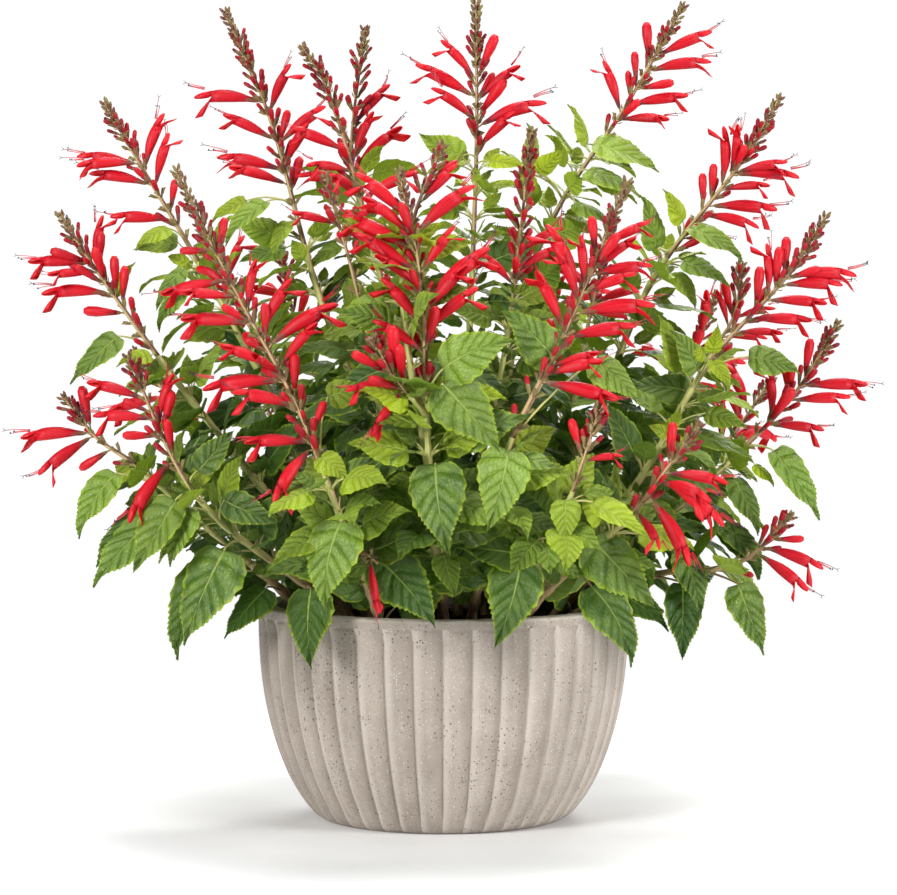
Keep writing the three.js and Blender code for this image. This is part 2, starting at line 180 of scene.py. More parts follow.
pale, tree, shader = finish("pale_floor", Roughness=0.9)
point = add_node(tree, "TexCoord", {}).outputs["Object"]
tone = blend(tree, clouds(tree, point, 3.0), colour(243, 243, 244), colour(248, 248, 248))
cover(tree, shader, Base_Color=tone)
from_pot = add_node(tree, "VectorMath", {0: point}, operation="LENGTH").outputs["Value"]
glow_share = fade(tree, from_pot, FLOOR_SHADE_REACH, FLOOR_WHITE_REACH)
glow = add_node(tree, "Emission", {"Color": (1, 1, 1, 1), "Strength": 1.0})
melted = add_node(tree, "MixShader", {0: glow_share, 1: shader.outputs[0], 2: glow.outputs[0]})
tree.links.new(melted.outputs[0], tree.nodes["Material Output"].inputs["Surface"])
floor_mesh = bpy.data.meshes.new("floor")
floor_corners = [(x * FLOOR_HALF, y * FLOOR_HALF, 0) for x, y in ((-1, -1), (1, -1), (1, 1), (-1, 1))]
floor_mesh.from_pydata(floor_corners, [], [(0, 1, 2, 3)])
floor_mesh.materials.append(pale)
link_object("floor", floor_mesh)


# Pot
# A thick bowl cast in warm grey concrete. Forty shallow upright reeds with narrow grooves between
# them end in round shoulders under a plain rim band. Small air holes show where it left the mould.
pot_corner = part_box("pot")[1]
POT_HEIGHT = pot_corner.z
POT_RADIUS = pot_corner.x
POT_FOOT_RADIUS = 0.090
POT_WALL = 0.015
POT_FLOOR = 0.014
RIM_BAND = 0.006
RIM_ROUND = 0.002
FOOT_ROUND = 0.002
CAST_WAVE = 0.0003
REED_COUNT = 40
REED_DEPTH = 0.0032
REED_CROWN = 0.72
REED_TOP = POT_HEIGHT - 1.2 * RIM_BAND
REED_FADE = 0.020
REED_SHOULDER = 0.0055
GROOVE_WIDTH = 0.0018
GROOVE_LIP = 0.0012
SHARP_FOLD = math.radians(100)


def smooth(value, low, high):
    """0 below a low number, 1 above a high one, and an even step between them."""
    share = np.clip((value - low) / (high - low), 0, 1)
    return share * share * (3 - 2 * share)


def bowl_radius(height):
    """The outer radius of the bowl at a height, without its reeds."""
    rise = np.clip(height / (POT_HEIGHT - RIM_BAND), 0, 1)
    return POT_FOOT_RADIUS + (POT_RADIUS - POT_FOOT_RADIUS) * (1 - (1 - rise) ** 2.2) ** 0.68


def reed_depth(across, height):
    """How far the face of the bowl lies back, at a place across a reed from -1 to 1 and a height."""
    half = math.pi * bowl_radius(height) / REED_COUNT
    past_side = np.abs(across) * half - (half - REED_SHOULDER)
    past_top = height - (REED_TOP - REED_SHOULDER)
    corner = np.hypot(np.maximum(past_side, 0), np.maximum(past_top, 0))
    inside = REED_SHOULDER - corner - np.minimum(np.maximum(past_side, past_top), 0)
    groove = np.where(inside > 0, 1 - smooth(inside, 0, GROOVE_WIDTH), 1 - smooth(-inside, 0, GROOVE_LIP))
    crown = across**2 * (1 - smooth(past_top, -REED_SHOULDER, REED_SHOULDER))
    depth = REED_CROWN * crown + (1 - REED_CROWN) * groove
    return REED_DEPTH * depth * smooth(height, 0.001, REED_FADE)


def skin(numbers):
    """Faces between the rows of a grid of point numbers. A number that repeats makes a triangle."""
    corners = [numbers[:-1, :-1], numbers[1:, :-1], numbers[1:, 1:], numbers[:-1, 1:]]
    return np.stack(corners, -1).reshape(-1, 4)


def close_rings(rings, start, end):
    """A closed shape through rings of points, with a middle point at its start and at its end."""
    rows, sides = rings.shape[:2]
    numbers = 1 + np.arange(rows * sides).reshape(rows, sides)
    first = np.zeros((1, sides), int)
    last = np.full((1, sides), rows * sides + 1)
    numbers = np.concatenate([first, numbers, last])
    numbers = np.concatenate([numbers, numbers[:, :1]], 1)
    return np.concatenate([[start], rings.reshape(-1, 3), [end]]), skin(numbers)


class Batch:
    """Gathers closed shapes for one mesh. Each point has a place on its shape and a look, which the
    materials read, and each face has a mark, the number of its material. Faces point outwards."""

    def __init__(self):
        self.points, self.corners, self.marks, self.places, self.looks = [], [], [], [], []
        self.count = 0

    def add(self, points, corners, place, look=(0, 0, 0), mark=0):
        """One more closed shape, turned inside out first if its faces point inwards."""
        spots = points[corners]
        first, second, third, fourth = spots[:, 0], spots[:, 1], spots[:, 2], spots[:, 3]
        volume = np.sum(np.cross(second - first, third - first) * first)
        volume += np.sum(np.cross(third - first, fourth - first) * first)
        self.corners.append((corners if volume > 0 else corners[:, ::-1]) + self.count)
        self.points.append(points)
        self.marks.append(np.broadcast_to(mark, len(corners)))
        self.places.append(np.broadcast_to(np.asarray(place, float), points.shape))
        self.looks.append(np.broadcast_to(np.asarray(look, float), points.shape))
        self.count += len(points)

    def make(self, name, slot, materials):
        """The mesh as a piece that rides on the part's one body."""
        corners = np.concatenate(self.corners)
        marks = np.concatenate(self.marks)
        repeats = corners == np.roll(corners, -1, axis=1)
        whole = ~repeats.any(1)
        three = repeats.sum(1) == 1
        triangles = corners[three][~repeats[three]]
        loops = np.concatenate([corners[whole].ravel(), triangles.ravel()])
        sizes = np.concatenate([np.full(whole.sum(), 4), np.full(three.sum(), 3)])
        mesh = bpy.data.meshes.new(name)
        mesh.vertices.add(self.count)
        mesh.vertices.foreach_set("co", np.concatenate(self.points).astype(np.float32).ravel())
        mesh.loops.add(len(loops))
        mesh.loops.foreach_set("vertex_index", loops.astype(np.int32))
        mesh.polygons.add(len(sizes))
        mesh.polygons.foreach_set("loop_start", (np.cumsum(sizes) - sizes).astype(np.int32))
        numbers = np.concatenate([marks[whole], marks[three]])
        mesh.polygons.foreach_set("material_index", numbers.astype(np.int32))
        mesh.update(calc_edges=True)
        for label, values in (("place", self.places), ("look", self.looks)):
            made = mesh.attributes.new(label, "FLOAT_VECTOR", "POINT")
            made.data.foreach_set("vector", np.concatenate(values).astype(np.float32).ravel())
        mesh.validate()
        mesh.shade_smooth()
        mesh.set_sharp_from_angle(angle=SHARP_FOLD)
        for material in materials:
            mesh.materials.append(material)
        piece = link_object(name, mesh)
        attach(piece, "root")
        return piece


def read_values(tree, label):
    """The three numbers that each point of a mesh keeps under a label, and all of them together."""
    vector = add_node(tree, "Attribute", {}, attribute_name=label).outputs["Vector"]
    return [*add_node(tree, "SeparateXYZ", {0: vector}).outputs, vector]


def stretched(tree, vector, scale):
    """Places scaled along each axis, so that a pattern read from them is drawn out or squeezed."""
    return add_node(tree, "VectorMath", {0: vector, 1: scale}, operation="MULTIPLY").outputs[0]


def bump(tree, height, distance, strength=1.0):
    """The normal of a surface with a fine relief."""
    inputs = {"Height": height, "Distance": distance, "Strength": strength}
    return add_node(tree, "Bump", inputs).outputs["Normal"]


def grit_group():
    """Round grains or holes scattered in cells of space: how far each fills its cell, and the share of
    the cells that hold one. The concrete and the soil both have them."""
    tree = bpy.data.node_groups.new("grit", "ShaderNodeTree")
    for label, kind in (("Vector", "Vector"), ("Scale", "Float"), ("Size", "Float"), ("Share", "Float")):
        tree.interface.new_socket(label, in_out="INPUT", socket_type="NodeSocket" + kind)
    tree.interface.new_socket("Mask", in_out="OUTPUT", socket_type="NodeSocketFloat")
    given = tree.nodes.new("NodeGroupInput").outputs
    cells = add_node(tree, "TexVoronoi", {"Vector": given["Vector"], "Scale": given["Scale"]})
    chosen = add_node(tree, "SeparateXYZ", {0: cells.outputs["Color"]}).outputs[0]
    kept = calc(tree, "LESS_THAN", chosen, given["Share"])
    size = calc(tree, "MULTIPLY", given["Size"], calc(tree, "MULTIPLY_ADD", chosen, 1.2, 0.5))
    near = fade(tree, calc(tree, "DIVIDE", cells.outputs["Distance"], size), 0.6, 1.0, 1.0, 0.0)
    mask = calc(tree, "MULTIPLY", near, kept)
    tree.links.new(mask, tree.nodes.new("NodeGroupOutput").inputs["Mask"])
    return tree


grit = grit_group()


def grains(tree, vector, scale, size, share):
    """A mask of the grains, placed in one material with its own scale, size and share."""
    inputs = {"Vector": vector, "Scale": scale, "Size": size, "Share": share}
    return add_node(tree, "Group", inputs, node_tree=grit).outputs["Mask"]


concrete, tree, shader = finish("cast_concrete", Roughness=0.86, Specular_IOR_Level=0.35)
point = add_node(tree, "TexCoord", {}).outputs["Object"]
groove, across, _, _ = read_values(tree, "look")
cloud = clouds(tree, point, 22.0, 4.0)
streak = clouds(tree, stretched(tree, point, (90, 90, 9)), 1.0, 3.0)
grain = clouds(tree, point, 900.0, 2.0, 0.7)
patch = clouds(tree, stretched(tree, point, (1, 1, 0.45)), 46.0, 2.0)
hole_share = fade(tree, patch, 0.35, 0.7, 0.14, 0.60)
holes = grains(tree, point, 460.0, 0.33, hole_share)
large_holes = grains(tree, point, 170.0, 0.17, fade(tree, patch, 0.42, 0.7, 0.05, 0.28))
specks = grains(tree, stretched(tree, point, (1, 1, 0.9)), 560.0, 0.36, 0.45)
tone = blend(tree, fade(tree, cloud, 0.3, 0.7), colour(149, 138, 128), colour(176, 165, 155))
tone = blend(tree, fade(tree, streak, 0.35, 0.75, 0.0, 0.55), tone, colour(182, 172, 162))
tone = blend(tree, fade(tree, grain, 0.35, 0.7, 0.0, 0.5), tone, colour(142, 132, 122))
tone = blend(tree, calc(tree, "MULTIPLY", specks, 0.5), tone, colour(220, 213, 204))
# Painted light and shade: the left flank of each reed is painted lighter and the right flank darker, as if
# the key light fell from the left.
tone = blend(tree, fade(tree, across, -1.0, -0.2, 0.45, 0.0), tone, colour(212, 203, 194))
tone = blend(tree, fade(tree, across, 0.0, 0.95, 0.0, 0.42), tone, colour(122, 112, 100))
# Painted shade: the colour darkens deep in the grooves between the reeds.
tone = blend(tree, fade(tree, groove, 0.6, 1.0, 0.0, 0.34), tone, colour(120, 110, 98))
high = add_node(tree, "SeparateXYZ", {0: point}).outputs[2]
# Painted highlight: the top edge of the rim is painted lighter, where the light catches it.
lip = fade(tree, high, POT_HEIGHT - 0.003, POT_HEIGHT - 0.0005, 0.0, 0.45)
tone = blend(tree, lip, tone, colour(214, 205, 192))
pits = calc(tree, "MAXIMUM", holes, large_holes)
tone = blend(tree, calc(tree, "MULTIPLY", pits, 0.8), tone, colour(62, 54, 48))
dullness = fade(tree, grain, 0.2, 0.8, 0.78, 0.95)
height = calc(tree, "SUBTRACT", calc(tree, "MULTIPLY_ADD", grain, 0.22, cloud), pits)
cover(tree, shader, Base_Color=tone, Roughness=dullness, Normal=bump(tree, height, 0.0006, 0.8))


def make_pot():
    """The bowl as rings of points: up the reeds, over the rounded rim and down the inside."""
    across = np.array([-1, -0.92, -0.8, -0.6, -0.3, 0, 0.3, 0.6, 0.8, 0.92])
    reeds = np.arange(REED_COUNT)[:, None] + (across + 1) / 2
    turn = (reeds.ravel() / REED_COUNT) * 2 * math.pi - math.pi / 2
    across = np.tile(across, REED_COUNT)
    low_rows = [0, 0.0006, 0.002, 0.004, 0.007, 0.011, 0.016, 0.022, 0.030, 0.038, 0.048, 0.058, 0.070]
    high_rows = [0.082, 0.094, 0.106, 0.118, 0.130, 0.138, *np.linspace(0.143, POT_HEIGHT - RIM_ROUND, 14)]
    rows, back = [], []
    for height in low_rows + high_rows:
        depth = reed_depth(across, height)
        uneven = CAST_WAVE * np.sin(3 * turn + 1.3) * smooth(height, 0.1, POT_HEIGHT)
        foot = FOOT_ROUND * (1 - smooth(height, 0, 2 * FOOT_ROUND))
        rows.append((bowl_radius(height) - depth - foot + uneven, height))
        back.append(depth / REED_DEPTH)
    for side, lean, degrees in ((POT_RADIUS, -1, (35, 65, 90)), (POT_RADIUS - POT_WALL, 1, (90, 55, 20))):
        for angle in np.radians(degrees):
            radius = side + lean * RIM_ROUND * (1 - math.cos(angle))
            rows.append((radius, POT_HEIGHT - RIM_ROUND * (1 - math.sin(angle))))
    for height in (0.15, 0.13, 0.11, 0.08, 0.05, 0.03, POT_FLOOR):
        rows.append((bowl_radius(height) - POT_WALL, height))
    rings = np.zeros((len(rows), len(turn), 3))
    for ring, (radius, height) in zip(rings, rows):
        ring[:, 0] = np.cos(turn) * radius
        ring[:, 1] = np.sin(turn) * radius
        ring[:, 2] = height + 0.0002 * np.sin(5 * turn) * (height > POT_HEIGHT - 0.003)
    points, corners = close_rings(rings, (0, 0, 0), (0, 0, POT_FLOOR))
    # The look keeps how far each point lies back in a groove and where it lies across its reed; the concrete
    # paints shade in the grooves and light and shade on the reed flanks from them.
    look = np.zeros_like(points)
    reeded = slice(1, 1 + len(back) * len(turn))
    look[reeded, 0] = np.concatenate(back)
    look[reeded, 1] = np.tile(across, len(back)) * (look[reeded, 0] > 0)
    batch = Batch()
    batch.add(points, corners, points, look)
    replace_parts(batch.make("reeded_pot", "concrete", [concrete]), "pot")


make_pot()


# Soil
# Dark damp potting soil that fills the bowl to a finger below the rim and is a little higher in the
# middle, with crumbs, bark chips and a few pale grains lying loose on it.
SOIL_EDGE = 0.146
SOIL_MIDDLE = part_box("soil")[1].z
SOIL_FOOT = POT_FLOOR + 0.0003
SOIL_GAP = 0.0006
SOIL_ROUGHNESS = 0.0011
SOIL_WAVE = 0.0016
CRUMB_COUNT = 420
SHORTEST_CRUMB = 0.0015
LONGEST_CRUMB = 0.0065
PALE_CRUMB_SHARE = 0.06
soil_dice = np.random.default_rng(11)


def soil_height(radius):
    """The level of the soil at a distance from the middle of the bowl."""
    rim = bowl_radius(SOIL_EDGE) - POT_WALL
    return SOIL_EDGE + (SOIL_MIDDLE - SOIL_EDGE) * (1 - np.clip(radius / rim, 0, 1) ** 2)


earth, tree, shader = finish("potting_soil", Roughness=0.95)
point = add_node(tree, "TexCoord", {}).outputs["Object"]
clods = clouds(tree, point, 160.0, 5.0, 0.65)
tone = blend(tree, fade(tree, clods, 0.35, 0.7), colour(24, 17, 12), colour(66, 49, 36))
fibres = clouds(tree, stretched(tree, point, (500, 90, 200)), 1.0, 3.0)
tone = blend(tree, fade(tree, fibres, 0.6, 0.75, 0.0, 0.6), tone, colour(98, 74, 52))
tone = blend(tree, grains(tree, point, 300.0, 0.3, 0.05), tone, colour(170, 160, 142))
dullness = fade(tree, clods, 0.3, 0.7, 0.98, 0.7)
cover(tree, shader, Base_Color=tone, Roughness=dullness, Normal=bump(tree, clods, 0.003))

crumb, tree, shader = finish("bark_and_crumbs", Roughness=0.9)
point = add_node(tree, "TexCoord", {}).outputs["Object"]
shade, paleness, _, _ = read_values(tree, "look")
tone = blend(tree, shade, colour(30, 21, 15), colour(104, 76, 52))
tone = blend(tree, paleness, tone, colour(196, 186, 168))
chips = clouds(tree, stretched(tree, point, (300, 1200, 600)), 1.0)
tone = blend(tree, fade(tree, chips, 0.3, 0.7, 0.5, 0.0), tone, colour(20, 14, 10))
cover(tree, shader, Base_Color=tone, Normal=bump(tree, chips, 0.0008))


def make_soil():
    """The soil as rings of points: up the inside of the bowl, and in over its uneven top."""
    sides = 120
    turn = np.arange(sides) * 2 * math.pi / sides
    circle = np.stack([np.cos(turn), np.sin(turn)], 1)
    rings = []
    for height in (SOIL_FOOT, 0.03, 0.05, 0.08, 0.11, 0.13):
        radius = bowl_radius(height) - POT_WALL - SOIL_GAP
        rings.append(np.column_stack([circle * radius, np.full(sides, height)]))
    edge = bowl_radius(SOIL_EDGE) - POT_WALL - SOIL_GAP
    for radius in [edge, *np.linspace(edge - 0.002, 0.004, 30)]:
        level = soil_height(radius) + soil_dice.normal(0, SOIL_ROUGHNESS, sides) * (radius < edge)
        wave = np.sin(turn * 7 + radius * 190) * np.sin(radius * 130 + 2)
        level += SOIL_WAVE * wave * (radius < edge)
        rings.append(np.column_stack([circle * radius, level]))
    points, corners = close_rings(np.array(rings), (0, 0, SOIL_FOOT), (0, 0, SOIL_MIDDLE))
    batch = Batch()
    batch.add(points, corners, points)
    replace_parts(batch.make("potting_soil", "soil", [earth]), "soil")


def pebble(length, width, thickness, dice):
    """A small rough lump: rings of a ball, pushed in and out."""
    lift = np.radians([-50, -15, 20, 55])[:, None]
    turn = (np.arange(7) * 2 * math.pi / 7)[None, :]
    ball = np.stack([np.cos(lift) * np.cos(turn), np.cos(lift) * np.sin(turn), np.sin(lift + 0 * turn)], -1)
    ball *= dice.uniform(0.75, 1.25, ball.shape[:2])[..., None]
    size = np.array([length, width, thickness]) / 2
    points, corners = close_rings(ball, (0, 0, -1), (0, 0, 1))
    return points * size, corners


def make_crumbs():
    """Crumbs and chips strewn evenly over the soil, each turned its own way and sunk in a little."""
    batch = Batch()
    edge = bowl_radius(SOIL_EDGE) - POT_WALL - 0.004
    for _ in range(CRUMB_COUNT):
        radius = edge * math.sqrt(soil_dice.uniform(0.0, 1.0))
        angle = soil_dice.uniform(0, 2 * math.pi)
        length = soil_dice.uniform(SHORTEST_CRUMB, LONGEST_CRUMB)
        points, corners = pebble(length, length * 0.6, length * 0.45, soil_dice)
        heading = soil_dice.uniform(0, 2 * math.pi)
        ahead, across = math.cos(heading), math.sin(heading)
        spin = np.array([[ahead, across, 0], [-across, ahead, 0], [0, 0, 1]])
        level = soil_height(radius) + length * 0.15
        middle = np.array([radius * math.cos(angle), radius * math.sin(angle), level])
        paleness = float(soil_dice.uniform() < PALE_CRUMB_SHARE)
        batch.add(points @ spin + middle, corners, points, (soil_dice.uniform(), paleness, 0))
    batch.make("soil_crumbs", "soil", [crumb])


make_soil()
make_crumbs()


# Stems
# Square stems that stand in the soil and arch outwards, pale green with a red flush on one side, and
# tan and woody at the foot. Each is thicker at a node, where a pair of leaves grows, and a side shoot
# starts on the line of its stem.
FOOT_RADIUS = 0.0044
NECK_RADIUS = 0.0018
SIDE_SHOOT_RADIUS = 0.0026
SIDE_NECK_RADIUS = 0.0014
WOODY_TOP = 0.215
STEM_STEP = 0.008
STEM_SIDES = 12
SQUARENESS = 0.10
FIRST_NODE = 0.045
FIRST_SIDE_NODE = 0.022
LAST_NODE_GAP = 0.006
NODE_SPACING = 0.027
NODE_SWELLING = 0.28
NODE_REACH = 0.0045

# Each stem has its route from the foot to the tip of its spike, the length of the spike, and the leaves
# that show best (place along the route, base of the blade, tip). Its open flowers, and its long buds
# or clubs, are set by their place along the spike, the degrees round it from the front towards the
# right, the degrees that they spread from it, and a flower's size. Leafy is how far up the spike leaves
# still grow, and paleness how cream its young calyces are.
stems = {
    "a": {
        "route": [
            (-0.025, 0.005, 0.130), (-0.035, 0.000, 0.220), (-0.060, -0.015, 0.310),
            (-0.095, -0.010, 0.400), (-0.130, 0.015, 0.525), (-0.165, 0.020, 0.610),
        ],
        "spike": 0.190,
        "leaves": [
            (0.69, (-0.133, -0.010, 0.465), (-0.165, -0.025, 0.435)),
            (0.69, (-0.148, -0.002, 0.466), (-0.176, -0.006, 0.452)),
            (0.66, (-0.116, -0.005, 0.450), (-0.128, -0.015, 0.422)),
            (0.63, (-0.125, 0.008, 0.440), (-0.158, 0.006, 0.450)),
            (0.62, (-0.120, 0.014, 0.430), (-0.155, 0.012, 0.420)),
        ],
        "flowers": [
            (0.60, 270, 57, 1.05), (0.55, 60, 45, 0.85), (0.44, 275, 46, 0.90), (0.42, 85, 64, 0.92),
            (0.33, 45, 60, 0.85), (0.31, 270, 57, 1.05), (0.25, 290, 58, 0.95),
        ],
    },
    "b": {
        "route": [
            (-0.010, 0.025, 0.130), (-0.020, 0.025, 0.230), (-0.035, 0.015, 0.350), (-0.060, -0.010, 0.460),
            (-0.085, -0.015, 0.545), (-0.105, -0.020, 0.580),
        ],
        "spike": 0.165,
        "leaves": [
            (0.31, (-0.040, 0.000, 0.280), (-0.070, -0.030, 0.250)),
            (0.60, (-0.078, 0.000, 0.432), (-0.104, -0.006, 0.412)),
            (0.56, (-0.072, 0.004, 0.410), (-0.098, 0.000, 0.382)),
        ],
        "flowers": [
            (0.48, 280, 50, 0.90), (0.38, 300, 60, 0.80), (0.33, 275, 62, 0.90), (0.30, 330, 60, 0.80),
            (0.25, 90, 75, 0.95),
        ],
    },
    "c": {
        "route": [
            (0.010, 0.000, 0.130), (0.015, 0.005, 0.250), (0.020, 0.010, 0.370), (0.025, 0.010, 0.500),
            (0.025, 0.010, 0.615),
        ],
        "spike": 0.200,
        "leaves": [
            (0.76, (0.015, 0.000, 0.500), (-0.018, -0.005, 0.517)),
            (0.75, (0.035, 0.000, 0.495), (0.062, -0.005, 0.490)),
            (0.34, (0.005, -0.015, 0.295), (-0.025, -0.045, 0.290)),
            (0.56, (0.010, 0.000, 0.405), (-0.026, -0.004, 0.398)),
            (0.58, (0.034, 0.000, 0.420), (0.072, -0.004, 0.436)),
            (0.52, (0.034, 0.004, 0.390), (0.074, 0.006, 0.385)),
        ],
        "flowers": [
            (0.71, 280, 38, 0.80), (0.64, 270, 60, 1.05), (0.63, 75, 45, 0.85), (0.55, 285, 46, 0.85),
            (0.53, 90, 62, 1.10), (0.45, 60, 48, 0.85),
        ],
        "clubs": [(0.73, 80, 25), (0.57, 70, 38)],
        "leafy": 0.40,
    },
    "d": {
        "route": [
            (0.030, 0.020, 0.130), (0.040, 0.030, 0.250), (0.060, 0.035, 0.390), (0.090, 0.040, 0.465),
            (0.139, 0.050, 0.538), (0.185, 0.060, 0.618),
        ],
        "spike": 0.200,
        "leaves": [
            (0.76, (0.115, 0.035, 0.510), (0.165, 0.030, 0.490)),
            (0.71, (0.110, 0.035, 0.490), (0.150, 0.020, 0.470)),
            (0.75, (0.110, 0.040, 0.510), (0.095, 0.030, 0.540)),
            (0.73, (0.100, 0.045, 0.500), (0.080, 0.040, 0.525)),
            (0.67, (0.100, 0.030, 0.465), (0.130, 0.020, 0.445)),
            (0.66, (0.068, 0.034, 0.491), (0.064, 0.030, 0.526)),
            (0.66, (0.065, 0.032, 0.488), (0.044, 0.028, 0.505)),
            (0.66, (0.071, 0.032, 0.488), (0.092, 0.028, 0.508)),
            (0.66, (0.068, 0.028, 0.486), (0.058, 0.020, 0.472)),
        ],
        "flowers": [
            (0.77, 90, 35, 0.95), (0.70, 90, 45, 1.00), (0.55, 90, 48, 0.95), (0.51, 270, 50, 0.85),
            (0.48, 60, 58, 0.85),
        ],
        "clubs": [(0.62, 80, 50), (0.63, 270, 33), (0.73, 270, 33)],
        "leafy": 0.38,
    },
    "e": {
        "route": [
            (0.050, 0.000, 0.130), (0.080, 0.005, 0.220), (0.125, 0.000, 0.330), (0.160, 0.000, 0.410),
            (0.225, 0.005, 0.495), (0.255, 0.010, 0.545),
        ],
        "spike": 0.150,
        "leaves": [
            (0.68, (0.160, -0.010, 0.430), (0.150, -0.020, 0.470)),
            (0.72, (0.180, -0.010, 0.450), (0.165, -0.020, 0.475)),
            (0.71, (0.185, -0.010, 0.445), (0.225, -0.020, 0.420)),
            (0.66, (0.180, -0.010, 0.420), (0.215, -0.020, 0.405)),
            (0.62, (0.175, -0.012, 0.412), (0.190, -0.020, 0.385)),
            (0.66, (0.160, 0.015, 0.435), (0.155, 0.020, 0.470)),
        ],
        "flowers": [
            (0.55, 75, 42, 0.80), (0.53, 90, 46, 1.00), (0.52, 300, 30, 0.80), (0.45, 280, 30, 0.90),
            (0.43, 70, 40, 0.75), (0.33, 90, 50, 1.05), (0.27, 90, 55, 0.90), (0.12, 85, 50, 0.70),
        ],
        "clubs": [(0.30, 270, 40), (0.36, 280, 35)],
    },
    "f": {
        "route": [
            (0.045, -0.030, 0.130), (0.080, -0.075, 0.185), (0.140, -0.120, 0.260), (0.194, -0.080, 0.345),
            (0.253, -0.055, 0.408), (0.285, -0.040, 0.455),
        ],
        "spike": 0.150,
        "leaves": [
            (0.65, (0.225, -0.065, 0.350), (0.265, -0.060, 0.340)),
            (0.53, (0.190, -0.110, 0.310), (0.220, -0.115, 0.300)),
            (0.60, (0.180, -0.085, 0.325), (0.135, -0.075, 0.330)),
            (0.64, (0.185, -0.095, 0.340), (0.165, -0.105, 0.370)),
            (0.60, (0.196, -0.092, 0.348), (0.208, -0.102, 0.326)),
            (0.60, (0.196, -0.090, 0.353), (0.201, -0.096, 0.374)),
            (0.60, (0.191, -0.092, 0.351), (0.176, -0.100, 0.358)),
            (0.48, (0.166, -0.114, 0.292), (0.182, -0.120, 0.279)),
            (0.48, (0.162, -0.114, 0.295), (0.148, -0.120, 0.302)),
            (0.48, (0.165, -0.112, 0.298), (0.172, -0.118, 0.315)),
        ],
        "flowers": [
            (0.62, 90, 43, 1.05), (0.56, 90, 43, 0.95), (0.47, 270, 40, 0.80), (0.45, 80, 45, 0.90),
            (0.32, 85, 45, 0.95), (0.22, 70, 45, 0.70),
        ],
        "clubs": [(0.60, 270, 35), (0.52, 285, 38), (0.38, 280, 40)],
    },
    "g": {
        "route": [
            (0.065, -0.010, 0.130), (0.110, -0.030, 0.185), (0.165, -0.050, 0.230), (0.210, -0.050, 0.270),
            (0.260, -0.040, 0.320), (0.295, -0.030, 0.375),
        ],
        "spike": 0.125,
        "leaves": [
            (0.66, (0.245, -0.050, 0.280), (0.280, -0.060, 0.230)),
            (0.59, (0.215, -0.060, 0.260), (0.235, -0.070, 0.220)),
            (0.64, (0.230, -0.060, 0.270), (0.245, -0.065, 0.255)),
            (0.49, (0.205, -0.065, 0.225), (0.235, -0.080, 0.190)),
            (0.38, (0.175, -0.065, 0.210), (0.190, -0.075, 0.165)),
            (0.52, (0.205, -0.060, 0.225), (0.235, -0.075, 0.190)),
        ],
        "flowers": [
            (0.55, 90, 52, 1.00), (0.44, 85, 46, 0.90), (0.27, 280, 40, 0.80), (0.24, 90, 46, 0.85),
        ],
        "clubs": [(0.60, 280, 25), (0.45, 280, 38)],
    },
    "h": {
        "route": [
            (0.070, -0.035, 0.130), (0.105, -0.070, 0.165), (0.155, -0.080, 0.190), (0.200, -0.085, 0.195),
            (0.225, -0.090, 0.205), (0.255, -0.090, 0.235),
        ],
        "spike": 0.065,
        "leaves": [
            (0.65, (0.215, -0.100, 0.185), (0.235, -0.110, 0.135)),
            (0.49, (0.175, -0.095, 0.185), (0.175, -0.105, 0.130)),
            (0.28, (0.125, -0.095, 0.180), (0.165, -0.110, 0.155)),
            (0.60, (0.175, -0.100, 0.210), (0.190, -0.115, 0.165)),
        ],
        "flowers": [(0.50, 90, 60, 0.95), (0.40, 75, 75, 0.95)],
        "clubs": [(0.62, 85, 45)],
    },
    "i": {
        "route": [
            (-0.050, 0.005, 0.130), (-0.080, 0.000, 0.210), (-0.130, -0.010, 0.320),
            (-0.181, -0.010, 0.415), (-0.230, -0.005, 0.497), (-0.255, 0.000, 0.540),
        ],
        "spike": 0.140,
        "leaves": [
            (0.62, (-0.195, -0.025, 0.415), (-0.215, -0.035, 0.385)),
            (0.66, (-0.200, 0.000, 0.435), (-0.235, 0.005, 0.430)),
            (0.74, (-0.205, -0.020, 0.445), (-0.230, -0.030, 0.430)),
            (0.66, (-0.195, -0.020, 0.400), (-0.215, -0.030, 0.370)),
            (0.48, (-0.150, -0.002, 0.315), (-0.192, -0.008, 0.285)),
            (0.55, (-0.150, 0.000, 0.350), (-0.165, -0.005, 0.385)),
        ],
        "flowers": [
            (0.61, 270, 48, 0.95), (0.61, 290, 58, 0.95), (0.57, 90, 44, 0.90), (0.48, 270, 42, 0.95),
            (0.46, 80, 46, 0.85), (0.26, 270, 55, 0.95),
        ],
        "clubs": [(0.30, 80, 40)],
    },
    "j": {
        "route": [
            (-0.060, -0.015, 0.130), (-0.095, -0.030, 0.200), (-0.145, -0.045, 0.265),
            (-0.200, -0.050, 0.335), (-0.254, -0.035, 0.408), (-0.285, -0.030, 0.455),
        ],
        "spike": 0.130,
        "leaves": [
            (0.70, (-0.240, -0.055, 0.365), (-0.275, -0.065, 0.330)),
            (0.68, (-0.215, -0.060, 0.350), (-0.240, -0.070, 0.345)),
            (0.72, (-0.245, -0.030, 0.395), (-0.230, -0.030, 0.420)),
        ],
        "flowers": [
            (0.66, 270, 50, 0.95), (0.62, 85, 33, 0.80), (0.60, 290, 60, 0.75), (0.45, 270, 46, 1.05),
        ],
        "clubs": [(0.36, 85, 40), (0.31, 270, 50)],
    },
    "k": {
        "route": [
            (-0.040, -0.060, 0.130), (-0.050, -0.130, 0.175), (-0.070, -0.225, 0.240),
            (-0.101, -0.220, 0.320), (-0.146, -0.185, 0.400), (-0.190, -0.150, 0.485),
        ],
        "spike": 0.250,
        "leaves": [
            (0.42, (-0.070, -0.232, 0.240), (-0.080, -0.245, 0.180)),
            (0.30, (-0.045, -0.190, 0.210), (-0.005, -0.210, 0.165)),
            (0.50, (-0.080, -0.205, 0.325), (-0.050, -0.195, 0.330)),
